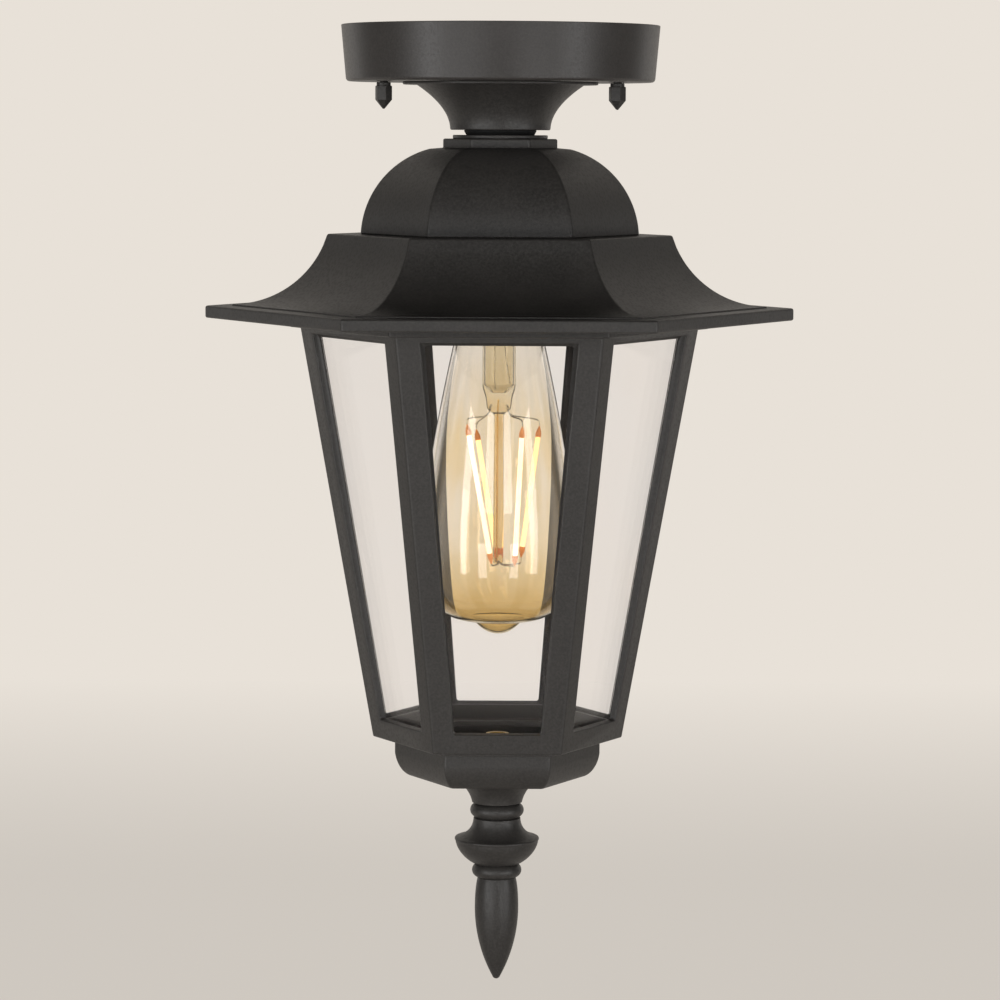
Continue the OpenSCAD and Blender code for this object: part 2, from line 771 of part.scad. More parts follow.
module dome() color(CAST)
    difference() {
        union() {
            difference() {
                hex_loft(concat([[collar_r, plate_z], [collar_r, collar_z]], dome_rings(0, collar_z)));
                hex_loft(concat(
                    dome_rings(dome_wall, dome_ceiling_z),
                    [[dome_r - dome_wall, roof_z - eps]]
                ));
            }
            intersection() {
                at_three(roof_screw_turn, roof_screw_at)
                    rod(boss_r, roof_z, roof_z + dome_boss_h);
                hex_loft(concat(dome_rings(0.2, dome_ceiling_z), [[dome_r - 0.2, roof_z - eps]]));
            }
        }
        rod(nipple_r, dome_ceiling_z - eps, plate_z + eps);
        at_three(roof_screw_turn, roof_screw_at)
            rod(screw_r, roof_z - eps, roof_z + roof_screw_grip);
    }

module dome_lock_nut() color(ZINC) {
    ring(washer_r, nipple_r, dome_ceiling_z - washer_t, dome_ceiling_z);
    hex_nut(nipple_nut_r, nipple_r, dome_nut_z, nipple_nut_h);
}

// rings of the flare, a distance inside its surface, from the ledge to its foot
function flare_rings(inset, top) =
    let (r = roof_arc_r + inset, first = 180 + asin((roof_arc_z - top) / r))
    arc(roof_foot_r, roof_arc_z, r, first, 270, 18);

module roof_cavity(inset)
    hex_loft(concat(
        flare_rings(inset, ledge_z),
        [[rim_r - rim_lip_w, flare_z - inset], [rim_r - rim_lip_w, rim_base_z - eps]]
    ));

module roof_skirt() color(CAST)
    difference() {
        union() {
            difference() {
                hex_loft(concat(
                    flare_rings(0, roof_z),
                    [[roof_foot_r, rim_z], [rim_r, rim_z], [rim_r, rim_base_z]]
                ));
                roof_cavity(roof_wall);
            }
            intersection() {
                at_three(cage_screw_turn, cage_screw_at)
                    rod(boss_r, boss_z, ledge_z + eps);
                roof_cavity(roof_wall - 0.4);
            }
        }
        translate([0, 0, ledge_z - eps])
            cylinder(r = roof_hole_r, h = roof_wall + 2 * eps, $fn = sides);
        at_three(roof_screw_turn, roof_screw_at)
            rod(screw_r + hole_gap, ledge_z - eps, roof_z + eps);
        at_three(cage_screw_turn, cage_screw_at)
            rod(cage_screw_r + running_gap, boss_z - eps, cage_screw_top_z + rest_gap);
    }

module roof_screws() color(ZINC)
    at_three(roof_screw_turn, roof_screw_at) {
        rod(screw_head_r, ledge_z - screw_head_h, ledge_z);
        rod(screw_r, ledge_z - screw_head_h, roof_z + roof_screw_grip);
    }

// ---------------------------------------------------------------- socket

module socket_cap() color(BLACK)
    difference() {
        rod(socket_cap_r, socket_z, socket_cap_z);
        rod(socket_cap_r - socket_cap_wall, socket_z - eps, socket_cap_z - socket_cap_wall);
        rod(nipple_r, socket_z, socket_cap_z + eps);
        for (side = [-1, 1])
            translate([0, side * socket_screw_at, 0])
                rod(screw_r, socket_z, socket_cap_z + eps);
    }

module socket_body() color(PORCELAIN)
    difference() {
        rod(socket_r, socket_base_z, socket_z);
        rod(socket_bore_r, socket_base_z - eps, shell_top_z);
        rod(socket_bore_r + socket_step, socket_base_z - eps, shell_base_z);
        rod(rivet_r, shell_top_z - eps, socket_z + eps);
        for (side = [-1, 1])
            translate([0, side * socket_screw_at, 0])
                rod(screw_r, shell_top_z - eps, socket_z + eps);
    }

module socket_screws() color(ZINC)
    for (side = [-1, 1])
        translate([0, side * socket_screw_at, 0]) {
            rod(screw_r, shell_top_z, socket_cap_z + 0.01);
            rod(screw_head_r, socket_cap_z, socket_cap_z + screw_head_h);
        }

module socket_shell() color(BRASS)
    ring(shell_r + shell_t, shell_r, shell_base_z, shell_top_z);

// rivet through the socket's top with a round spring leaf under it
module socket_contact() color(BRASS) {
    rod(rivet_r, contact_z + contact_t, socket_z);
    rod(bulb_contact_r, contact_z, contact_z + contact_t);
}

// ---------------------------------------------------------------- wiring

lead_at = nipple_bore_r - lead_r - 0.3;
lead_bend_z = nipple_top_z + 1;
lead_run_z = lead_bend_z + lead_bend_r;

module lead(side) {
    mirror([side < 0 ? 1 : 0, 0, 0]) {
        translate([lead_at, 0, 0])
            rod(lead_r, socket_z, lead_bend_z);
        translate([lead_at + lead_bend_r, 0, lead_bend_z])
            rotate([90, 0, 180])
                rotate_extrude(angle = 90)
                    translate([lead_bend_r, 0])
                        circle(r = lead_r, $fn = 24);
        translate([lead_at + lead_bend_r, 0, lead_run_z])
            rotate([0, 90, 0])
                cylinder(r = lead_r, h = lead_reach - lead_at - lead_bend_r, $fn = 24);
    }
}

module lead_black() color(BLACK) lead(-1);

module lead_white() color(PORCELAIN) lead(1);

module wire_connectors() color([0.85, 0.45, 0.15])
    for (side = [-1, 1])
        translate([side * lead_reach, 0, lead_run_z])
            rotate([0, side * 90, 0])
                cylinder(r1 = connector_r, r2 = connector_r - 1.4, h = connector_len);

// ---------------------------------------------------------------- bulb

// outline of the envelope's outer surface from its neck to its tip
bulb_neck_r = bulb_base_r - 0.1;
envelope = concat(
    bezier(
        [bulb_neck_r, base_z], [bulb_neck_r + 3, base_z - bulb_shoulder_h * 0.18],
        [bulb_r, bulb_wide_z + bulb_shoulder_h * 0.34], [bulb_r, bulb_wide_z], 14
    ),
    bezier(
        [bulb_r, bulb_wide_z - 0.5], [bulb_r, bulb_wide_z - bulb_bottom_h * 0.6],
        [bulb_r - 4.5, teat_z + 0.3], [teat_r, teat_z], 12
    ),
    bezier(
        [teat_r - 0.3, teat_z - 0.05], [teat_r - 2.2, teat_z - 0.3],
        [teat_r - 4.3, bulb_tip_z], [0, bulb_tip_z], 10
    )
);
last_point = len(envelope) - 1;

// the same outline moved inwards by a wall
function inner_envelope(wall) =
    [for (i = [0:last_point]) let (
        before = envelope[max(i - 1, 0)],
        after = envelope[min(i + 1, last_point)],
        run = (after - before) / norm(after - before)
    ) [max(envelope[i][0] + run[1] * wall, 0), i == 0 ? base_z : envelope[i][1] - run[0] * wall]];

module bulb_envelope() color(AMBER)
    rotate_extrude()
        polygon(concat(
            envelope,
            [for (i = [last_point:-1:0]) inner_envelope(bulb_wall)[i]]
        ));

thread_turns = 6;

module bulb_base() color(ZINC)
    difference() {
        rotate_extrude()
            polygon(concat(
                [[0, base_z]],
                [for (i = [0:thread_turns * 6]) [
                    bulb_base_r - bulb_thread_t * (1 - cos(60 * i)) / 2,
                    base_z + bulb_thread_end + (bulb_base_h - 2 * bulb_thread_end) * i / (thread_turns * 6)
                ]],
                [[insulator_r + base_shoulder_w, base_top_z], [0, base_top_z]]
            ));
        rod(bulb_base_r - bulb_base_wall, base_z - eps, base_top_z - bulb_base_wall / 2);
    }

module bulb_insulator() color(BLACK)
    translate([0, 0, base_top_z])
        cylinder(r1 = insulator_r + base_shoulder_w - eps, r2 = insulator_r, h = insulator_h);

module bulb_contact() color(ZINC)
    rod(bulb_contact_r, insulator_z, bulb_top_z);

module bulb_stem() color(CLEAR)
    rotate_extrude()
        polygon([
            [0, base_z - 6], [stem_r - 1, base_z - 6], [bulb_neck_r - bulb_wall - 0.2, base_z],
            [bulb_neck_r - bulb_wall - 0.2, base_z - 1.2], [stem_r, base_z - 8],
            [stem_r, stem_z], [pinch_r, stem_z - 1], [pinch_r, pinch_z + 1],
            [rod_r, pinch_z], [rod_r, filament_z(filament_len)], [0, filament_z(filament_len)]
        ]);

// height of a place along the filaments, from their upper ends
function filament_z(along) = pinch_z - filament_drop - along;

// the four corners of a filament ring, turned about the axis, then shifted and raised one by one
function filament_ring(half, shifts, z, rises) =
    [for (k = [0:3]) let (
        x = (k == 1 || k == 2 ? 1 : -1) * half[0],
        y = (k < 2 ? -1 : 1) * half[1]
    ) [
        x * cos(filament_turn) - y * sin(filament_turn) + shifts[k],
        x * sin(filament_turn) + y * cos(filament_turn),
        z + rises[k]
    ]];

filament_tops = filament_ring(filament_top, filament_top_shift, filament_z(0), -filament_top_fall);
filament_feet = filament_ring(
    filament_foot, filament_foot_shift, filament_z(filament_len), filament_foot_rise
);

function along(a, b, distance) = a + (b - a) * distance / norm(b - a);

module bulb_filaments() color(GLOW)
    for (k = [0:3])
        wire(
            along(filament_tops[k], filament_feet[k], filament_cap_h),
            along(filament_feet[k], filament_tops[k], filament_cap_h), filament_r
        );

module filament_caps() color([0.80, 0.35, 0.10])
    for (k = [0:3]) {
        wire(filament_tops[k], along(filament_tops[k], filament_feet[k], filament_cap_h), filament_r + 0.15);
        wire(filament_feet[k], along(filament_feet[k], filament_tops[k], filament_cap_h), filament_r + 0.15);
    }

// end of a support wire on the glass rod, on the side of the filament that it holds
function wire_root(tip, z) =
    let (out = [tip[0], tip[1], 0] / norm([tip[0], tip[1], 0]))
    out * (rod_r - wire_r) + [0, 0, z];

module bulb_support_wires() color(ZINC)
    for (k = [0:3]) {
        wire(wire_root(filament_tops[k], pinch_z - 1), filament_tops[k], wire_r);
        wire(wire_root(filament_feet[k], filament_feet[k][2] + 1.5), filament_feet[k], wire_r);
    }

// ---------------------------------------------------------------- cage

// frame's wall between its outer faces and its inner faces, with its floor
module cage_wall() {
    difference() {
        union() {
            hex_loft([[tier_r, tier_top_z], [tier_r, tier_z]]);
            hex_loft([[cage_r(tier_z + eps), tier_z + eps], [cage_r(cage_z), cage_z]]);
        }
        hex_loft([
            [cage_r(tier_top_z + eps) - wall_r, tier_top_z + eps],
            [cage_r(cage_z + floor_t) - wall_r, cage_z + floor_t]
        ]);
        translate([0, 0, cage_z - eps])
            cylinder(r = floor_hole_r, h = floor_t + 2 * eps, $fn = sides);
    }
}

module cage_window(k)
    on_face(k) {
        face_plate([stile_base_w, stile_w], sill_w, -head_strip, -eps, reveal_depth + eps);
        face_plate(lip_insets, sill_w, -head_strip - lip_top_w, reveal_depth - eps, lip_t + 3 * eps);
    }

// rib that holds the panes' feet against the bottom rail
module pane_rib() {
    foot_z = cage_z + floor_t;
    difference() {
        hex_loft([
            [cage_r(rib_top_z) - rib_inset, rib_top_z],
            [cage_r(foot_z - eps) - rib_inset, foot_z - eps]
        ]);
        hex_loft([
            [cage_r(rib_top_z + eps) - rib_inset - rib_r, rib_top_z + eps],
            [cage_r(foot_z - 2 * eps) - rib_inset - rib_r, foot_z - 2 * eps]
        ]);
    }
}

module ear(distance) {
    rod(ear_r, tier_top_z - ear_t, tier_top_z);
    reach = flat(cage_r(tier_z) - wall_r) - distance + 1.5;
    translate([0, -ear_web_w / 2, tier_top_z - ear_t])
        cube([reach, ear_web_w, ear_t]);
}

// distance from the cage's outer corner to a clip that touches both panes with its edges
function clip_distance() =
    (reveal_depth + lip_t + glass_t) / cos(half_sector) + clip_w / 2 * tan(half_sector) + 0.2;

module cage_frame() color(CAST)
    difference() {
        union() {
            difference() {
                cage_wall();
                for (k = [0:sides - 1])
                    cage_window(k);
            }
            pane_rib();
            at_three(cage_screw_turn, cage_screw_at)
                ear(cage_screw_at);
            for (k = [0:sides - 1])
                on_corner(k, tier_z)
                    translate([-clip_stand, 0, 0])
                        rotate([0, 90, 0])
                            cylinder(r = clip_boss_r, h = clip_stand - wall_r + 1.5);
        }
        at_three(cage_screw_turn, cage_screw_at)
            rod(cage_screw_r + running_gap, tier_top_z - ear_t - eps, tier_top_z + eps);
        at_three(roof_screw_turn, cup_screw_at)
            rod(screw_r + hole_gap, cage_z - eps, cage_z + floor_t + eps);
        for (k = [0:sides - 1])
            on_corner(k, tier_z)
                translate([-clip_stand - eps, 0, 0])
                    rotate([0, 90, 0])
                        cylinder(r = clip_screw_r, h = clip_screw_grip + eps);
    }

module pane(k) color(CLEAR)
    on_face(k)
        face_plate(
            [for (inset = lip_insets) inset - glass_lap], glass_foot_w, glass_top_w, glass_depth, glass_t
        );

module pane_front() pane(0);

module pane_front_right() pane(1);

module pane_rear_right() pane(2);

module pane_rear() pane(3);

module pane_rear_left() pane(4);

module pane_front_left() pane(5);

module pane_clips() color(ZINC)
    for (k = [0:sides - 1])
        on_corner(k, tier_z)
            translate([-clip_stand - clip_t, 0, 0])
                difference() {
                    translate([0, -clip_w / 2, -clip_h / 2])
                        cube([clip_t, clip_w, clip_h]);
                    translate([-eps, 0, 0])
                        rotate([0, 90, 0])
                            cylinder(r = clip_screw_r, h = clip_t + 2 * eps);
                }

module clip_screws() color(ZINC)
    for (k = [0:sides - 1])
        on_corner(k, tier_z)
            translate([-clip_stand - clip_t - clip_head_h, 0, 0])
                rotate([0, 90, 0]) {
                    cylinder(r = clip_head_r, h = clip_head_h);
                    cylinder(r = clip_screw_r, h = clip_head_h + clip_t + clip_screw_grip);
                }

module cage_screws() color(ZINC)
    at_three(cage_screw_turn, cage_screw_at) {
        rod(cage_screw_r, tier_top_z - ear_t - cage_head_h, cage_screw_top_z);
        rod(cage_head_r, tier_top_z - ear_t - cage_head_h, tier_top_z - ear_t);
    }

// ---------------------------------------------------------------- cup and finial

function cup_rings(inset, top, bottom) =
    let (bend = bezier([cup_r, -6], [cup_r - 0.3, -9], [cup_r - 2, -cup_h + 1.5], [cup_foot_r, -cup_h], 8))
    concat([[cup_r - inset, top]], [for (p = bend) [p[0] - inset, max(cage_z + p[1], bottom)]]);

module bottom_cup() color(CAST)
    difference() {
        union() {
            difference() {
                hex_loft(concat(
                    [[cup_flange_r, cage_z], [cup_flange_r, cage_z - cup_flange_t]],
                    cup_rings(0, cage_z - cup_flange_t, cup_z)
                ));
                hex_loft([
                    [cup_r - cup_wall / cos(half_sector), cage_z + eps],
                    [cup_r - cup_wall / cos(half_sector), cage_z - 6],
                    [cup_foot_r - cup_wall / cos(half_sector), cup_floor_z]
                ]);
            }
            intersection() {
                at_three(roof_screw_turn, cup_screw_at)
                    rod(boss_r, cage_z - cup_boss_h, cage_z);
                hex_loft([[cup_r - 0.5, cage_z], [cup_r - 2, cage_z - cup_boss_h - 1]]);
            }
        }
        rod(nipple_r, cup_z - eps, cup_floor_z + eps);
        at_three(roof_screw_turn, cup_screw_at)
            rod(screw_r, cup_screw_end_z, cage_z + eps);
    }

module cup_screws() color(ZINC)
    at_three(roof_screw_turn, cup_screw_at) {
        rod(screw_head_r, cage_z + floor_t, cage_z + floor_t + screw_head_h);
        rod(screw_r, cup_screw_end_z, cage_z + floor_t + screw_head_h);
    }

module finial_nipple() color(BRASS)
    ring(nipple_r, nipple_bore_r, finial_z - finial_hole_h + rest_gap, finial_nipple_top_z);

module finial_lock_nut() color(ZINC) {
    ring(washer_r, nipple_r, cup_floor_z, finial_nut_z);
    hex_nut(nipple_nut_r, nipple_r, finial_nut_z, nipple_nut_h);
}

// bulging half ring from one height down, out to a radius
function bead(r, top, h) = arc(r - h / 2, top - h / 2, h / 2, 90, -90, 8);

module finial() color(CAST) {
    ring_z = -finial_cove_h;
    flare_top = ring_z - finial_ring_h;
    lip_z = flare_top - finial_flare_h;
    bowl_z = lip_z - finial_lip_h;
    lower_z = bowl_z - finial_bowl_h;
    drop_z = lower_z - finial_ring_h;
    wide_z = drop_z - finial_drop_h * 0.31;
    tip_z = drop_z - finial_drop_h;
    translate([0, 0, finial_z])
        difference() {
            rotate_extrude()
                polygon(concat(
                    [[0, 0], [finial_top_r, 0]],
                    bezier(
                        [finial_top_r, -0.6], [finial_top_r - 2.9, -3.8],
                        [finial_waist_r + 1.3, ring_z + 4], [finial_waist_r + 0.6, ring_z + 0.5], 8
                    ),
                    bead(finial_ring_r, ring_z, finial_ring_h),
                    bezier(
                        [finial_waist_r, flare_top - 0.4], [finial_waist_r + 0.1, flare_top - 4.5],
                        [finial_lip_r - 4.4, lip_z + 0.8], [finial_lip_r, lip_z], 10
                    ),
                    bezier(
                        [finial_lip_r, bowl_z], [finial_lip_r - 0.4, bowl_z - 3.4],
                        [finial_lip_r - 3.3, lower_z + 2.3], [finial_waist_r, lower_z + 0.1], 10
                    ),
                    bead(finial_lower_ring_r, lower_z, finial_ring_h),
                    bezier(
                        [finial_drop_neck_r, drop_z - 0.2], [finial_drop_r - 0.2, drop_z - 3.8],
                        [finial_drop_r, wide_z + 4.5], [finial_drop_r, wide_z], 8
                    ),
                    bezier(
                        [finial_drop_r, wide_z - 0.4], [finial_drop_r - 0.2, wide_z - 9],
                        [finial_drop_r - 2.2, tip_z + 10], [finial_tip_r, tip_z + finial_tip_r * 0.8], 12
                    ),
                    arc(0, tip_z + finial_tip_r, finial_tip_r, 0, -90, 5)
                ));
            rod(nipple_r + running_gap, -finial_hole_h, eps);
        }
}

// ---------------------------------------------------------------- nodes

box_strap();
swivel_eyelet();
ground_screw();
canopy_strap();
canopy_studs();
stud_lock_nuts();
canopy();
canopy_nut_left();
canopy_nut_right();
neck();
upper_nipple();
canopy_lock_nut();
seal_washer();
collar_plate();
dome();
dome_lock_nut();
roof_skirt();
roof_screws();
socket_cap();
socket_body();
socket_screws();
socket_shell();
socket_contact();
lead_black();
lead_white();
wire_connectors();
cage_frame();
pane_front();
pane_front_right();
pane_rear_right();
pane_rear();
pane_rear_left();
pane_front_left();
pane_clips();
clip_screws();
cage_screws();
bottom_cup();
cup_screws();
finial_nipple();
finial_lock_nut();
finial();
bulb_envelope();
bulb_base();
bulb_insulator();
bulb_contact();
bulb_stem();
bulb_support_wires();
bulb_filaments();
filament_caps();
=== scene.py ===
"""Dressed model of a hexagonal porch ceiling lantern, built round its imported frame.

Sizes are in millimetres and angles in degrees; meshes are made in metres, in the frame's axes:
+Z up, the origin on the lantern's axis in the plane of the ceiling, one flat face towards -Y.
"""

import logging
import math
from dataclasses import dataclass
from enum import Enum
from typing import Optional, Sequence

import bmesh
import bpy
from mathutils import Matrix, Vector


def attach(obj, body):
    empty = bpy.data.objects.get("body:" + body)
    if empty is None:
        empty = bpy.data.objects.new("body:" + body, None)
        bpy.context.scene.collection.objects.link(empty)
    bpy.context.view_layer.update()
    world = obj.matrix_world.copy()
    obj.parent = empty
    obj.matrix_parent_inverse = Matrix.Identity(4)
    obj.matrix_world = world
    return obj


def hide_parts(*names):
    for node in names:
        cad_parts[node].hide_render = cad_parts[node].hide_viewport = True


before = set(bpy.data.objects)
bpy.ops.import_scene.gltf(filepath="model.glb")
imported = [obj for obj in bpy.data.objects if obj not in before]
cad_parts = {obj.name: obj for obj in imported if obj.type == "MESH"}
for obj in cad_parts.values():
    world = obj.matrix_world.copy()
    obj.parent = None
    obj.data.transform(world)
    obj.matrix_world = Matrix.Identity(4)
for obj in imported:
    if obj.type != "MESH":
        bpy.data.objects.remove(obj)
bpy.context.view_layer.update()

LOG = logging.getLogger("lantern")
MM = 0.001
SIDES = 6
SECTOR = 360 / SIDES
COS_HALF = math.cos(math.radians(SECTOR / 2))
TAN_HALF = math.tan(math.radians(SECTOR / 2))
STILL = Matrix.Identity(4)
WIDEST_ROUNDING = 2.0

Point = tuple[float, float]
Profile = list[Point]
Row = list[bmesh.types.BMVert]
Colour = tuple[float, float, float, float]
Output = bpy.types.NodeSocket


# ---------------------------------------------------------------- outlines and places


def arc(x: float, y: float, radius: float, start: float, end: float, steps: int = 12) -> Profile:
    """Points of a circular arc.

    Args:
        x, y, radius: Its middle and radius.
        start, end: Angles at its ends.
        steps: Segments along it.

    Returns:
        The points from start to end.
    """
    angles = [math.radians(start + (end - start) * i / steps) for i in range(steps + 1)]
    return [(x + radius * math.cos(a), y + radius * math.sin(a)) for a in angles]


def circle(radius: float, steps: int = SIDES) -> Profile:
    """Points of a circle about the axis, the first on +X."""
    return arc(0, 0, radius, 0, 360, steps)[:-1]


def bezier(a: Point, b: Point, c: Point, d: Point, steps: int = 16) -> Profile:
    """Points of a cubic curve with those four control points."""
    points = []
    for i in range(steps + 1):
        t = i / steps
        s = 1 - t
        shares = (s * s * s, 3 * s * s * t, 3 * s * t * t, t * t * t)
        points.append(tuple(sum(w * p[axis] for w, p in zip(shares, (a, b, c, d))) for axis in (0, 1)))
    return points


def fillet(corners: Sequence[tuple[float, ...]], closed: bool = True, steps: int = 4) -> Profile:
    """Outline whose corners are rounded.

    Args:
        corners: (x, y) or (x, y, radius) for each corner; without a radius it stays sharp.
        closed: Whether the outline returns to its first corner.
        steps: Segments of each rounded corner.

    Returns:
        The points of the rounded outline.
    """
    points: Profile = []
    count = len(corners)
    for i, corner in enumerate(corners):
        here = Vector(corner[:2])
        if len(corner) < 3 or not corner[2] or (not closed and i in (0, count - 1)):
            points.append((here.x, here.y))
            continue
        back, ahead = ((Vector(corners[j][:2]) - here).normalized() for j in (i - 1, (i + 1) % count))
        half = back.angle(ahead) / 2
        middle = here + (back + ahead).normalized() * (corner[2] / math.sin(half))
        first, last = (here + side * (corner[2] / math.tan(half)) - middle for side in (back, ahead))
        turn = math.atan2(first.x * last.y - first.y * last.x, first.dot(last))
        for k in range(steps + 1):
            cos, sin = math.cos(turn * k / steps), math.sin(turn * k / steps)
            across, along = first.x * cos - first.y * sin, first.x * sin + first.y * cos
            points.append((middle.x + across, middle.y + along))
    return points


def hexagon(radius: float, rounding: float, steps: int = 4) -> Profile:
    """Hexagon with a corner on +X, of a radius to its sharp corners, whose corners are rounded."""
    rounding = min(rounding, radius * 0.8)
    away = radius - rounding / COS_HALF
    points: Profile = []
    for k in range(SIDES):
        turn = math.radians(SECTOR * k)
        start = SECTOR * k - SECTOR / 2
        points += arc(away * math.cos(turn), away * math.sin(turn), rounding, start, start + SECTOR, steps)
    return points


def turned(angle: float, axis: str = "Z") -> Matrix:
    """Turn about an axis by an angle."""
    return Matrix.Rotation(math.radians(angle), 4, axis)


def moved(x: float = 0, y: float = 0, z: float = 0) -> Matrix:
    """Move by that much."""
    return Matrix.Translation((x, y, z))


def thirds(first: float, away: float) -> list[Matrix]:
    """Three places round the axis, the first at an angle, all of them that far away from it."""
    return [turned(first + 120 * k) @ moved(away) for k in range(3)]


# ---------------------------------------------------------------- meshes


def link(name: str, data: bpy.types.ID) -> bpy.types.Object:
    """Puts a new object with that mesh, lamp or camera in the scene."""
    obj = bpy.data.objects.new(name, data)
    bpy.context.scene.collection.objects.link(obj)
    return obj


def link_mesh(name: str, bm: bmesh.types.BMesh) -> bpy.types.Object:
    """Puts a new smooth object with that mesh in the scene."""
    data = bpy.data.meshes.new(name)
    bm.to_mesh(data)
    bm.free()
    data.shade_smooth()
    return link(name, data)


def dress(obj: bpy.types.Object, finish: "Finish") -> None:
    """Gives a piece or a node one finish."""
    if not obj.material_slots:
        obj.data.materials.append(finish.material())
    for slot in obj.material_slots:
        slot.material = finish.material()


def dress_nodes(finish: "Finish", width: float, *names: str) -> None:
    """Gives carried-over CAD nodes their finish, and rounds their edges by width."""
    for name in names:
        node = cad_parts[name]
        dress(node, finish)
        if width:
            node.modifiers.new("weld", "WELD").merge_threshold = 0.002 * MM
            bevel = node.modifiers.new("rounding", "BEVEL")
            bevel.limit_method = "ANGLE"
            bevel.angle_limit = math.radians(35)
            bevel.width = width * MM
            bevel.segments = 2
            node.modifiers.new("normals", "WEIGHTED_NORMAL")
        LOG.info("%s carried over", name)


class Solid:
    """One piece's mesh, collected from closed shells in millimetres."""

    def __init__(self, name: str) -> None:
        """Starts an empty piece of that name."""
        self.name = name
        self.mesh = bmesh.new()
        self.weight = self.mesh.edges.layers.float.new("bevel_weight_edge")

    def row(self, points: Sequence[Sequence[float]], place: Matrix = STILL) -> Row:
        """Adds points, moved by place, and returns their vertices."""
        return [self.mesh.verts.new(place @ Vector(p)) for p in points]

    def level(self, outline: Profile, z: float, place: Matrix = STILL) -> Row:
        """Adds an outline at a height and returns its vertices."""
        return self.row([(x, y, z) for x, y in outline], place)

    def face(self, corners: Sequence[bmesh.types.BMVert]) -> None:
        """Adds a face, unless its corners run together."""
        if len(set(corners)) > 2:
            self.mesh.faces.new(corners)

    def strip(self, a: Row, b: Row) -> None:
        """Joins two closed rows of the same length, or one with a single point."""
        count = max(len(a), len(b))
        for i in range(count):
            j = (i + 1) % count
            quad = [a[i % len(a)], a[j % len(a)], b[j % len(b)], b[i % len(b)]]
            self.face(list(dict.fromkeys(quad)))

    def skin(self, rows: list[Row], closed: bool) -> "Solid":
        """Skins rows into a shell: a closed one returns to its first row, others are capped."""
        for a, b in zip(rows, rows[1:] + rows[:1] if closed else rows[1:]):
            self.strip(a, b)
        if not closed:
            self.face(rows[0])
            self.face(rows[-1])
        return self

    def crease(self, vertices: Sequence[bmesh.types.BMVert], width: float, loop: bool = True) -> None:
        """Marks the edges between following vertices for rounding by that width."""
        for a, b in zip(vertices, [*vertices[1:], vertices[0]] if loop else vertices[1:]):
            edge = self.mesh.edges.get((a, b))
            if edge:
                edge[self.weight] = width / WIDEST_ROUNDING

    def slab(self, rows: list[Row], width: float, sides: bool = False) -> "Solid":
        """Skins two rows into a slab and rounds its ends' edges, and its sides' edges if asked."""
        self.skin(rows, closed=False)
        for row in rows:
            self.crease(row, width)
        for pair in zip(*rows) if sides else ():
            self.crease(pair, width, loop=False)
        return self

    def lathe(
        self, profile: Profile, closed: bool = True, steps: int = 96, place: Matrix = STILL,
    ) -> "Solid":
        """Turns a profile about the axis.

        Args:
            profile: (radius, height) of its points; one on the axis becomes a pole.
            closed: Whether it returns to its first point.
            steps: Segments round the axis.
            place: Where to put the result.

        Returns:
            This solid.
        """
        rings = ((circle(r, steps) if r > 1e-6 else [(0.0, 0.0)], z) for r, z in profile)
        return self.skin([self.level(ring, z, place) for ring, z in rings], closed)

    def stack(self, profile: Profile, rounding: float) -> "Solid":
        """Skins a closed profile of (corner radius, height) with hexagons of that rounding."""
        return self.skin([self.level(hexagon(r, rounding), z) for r, z in profile], closed=True)

    def coil(
        self, plain: float, waves: Point, ends: Point, pitch: float, place: Matrix = STILL,
        steps: int = 48, fine: int = 8, fade: float = 1.0,
    ) -> list[Row]:
        """Adds the rows of a helical thread.

        Args:
            plain: Its radius at both ends.
            waves: What the crest and the root of its wave add to that.
            ends: Heights of its ends.
            pitch: Rise of one turn.
            place: Where to put it.
            steps: Segments round the axis.
            fine: Rows in one turn.
            fade: How fast it rises from its ends, in waves for each pitch.

        Returns:
            Its rows, from the lower end up.
        """
        low, high = ends
        count = max(4, round((high - low) / pitch * fine))
        rows = []
        for j in range(count + 1):
            z = low + (high - low) * j / count
            share = min(1.0, (z - low) / pitch * fade, (high - z) / pitch * fade)
            ring = []
            for i in range(steps):
                wave = 0.5 + 0.5 * math.cos(2 * math.pi * (z / pitch - i / steps))
                r = plain + (waves[0] * wave + waves[1] * (1 - wave)) * share
                a = 2 * math.pi * i / steps
                ring.append((r * math.cos(a), r * math.sin(a)))
            rows.append(self.level(ring, z, place))
        return rows

    def washer(self, outer: float, bore: float, low: float, high: float, edge: float = 0.2) -> "Solid":
        """Adds a round ring with rounded edges between two heights."""
        corners = ((bore, low), (outer, low), (outer, high), (bore, high))
        return self.lathe(fillet([(*corner, edge) for corner in corners]))

    def hex_nut(self, radius: float, bore: float, low: float, high: float, place: Matrix = STILL) -> "Solid":
        """Adds a hexagonal nut whose corners are chamfered at both ends."""
        inner, chamfer = radius * COS_HALF, 0.35
        outline = hexagon(radius, 0.25)
        rows = []
        for z, cut in ((low, inner), (low + chamfer, radius), (high - chamfer, radius), (high, inner)):
            shares = [min(1.0, cut / math.hypot(*p)) for p in outline]
            points = [(x * share, y * share) for (x, y), share in zip(outline, shares)]
            rows.append(self.level(points, z, place))
        rows += [self.level(circle(bore, len(outline)), z, place) for z in (high, low)]
        return self.skin(rows, closed=True)

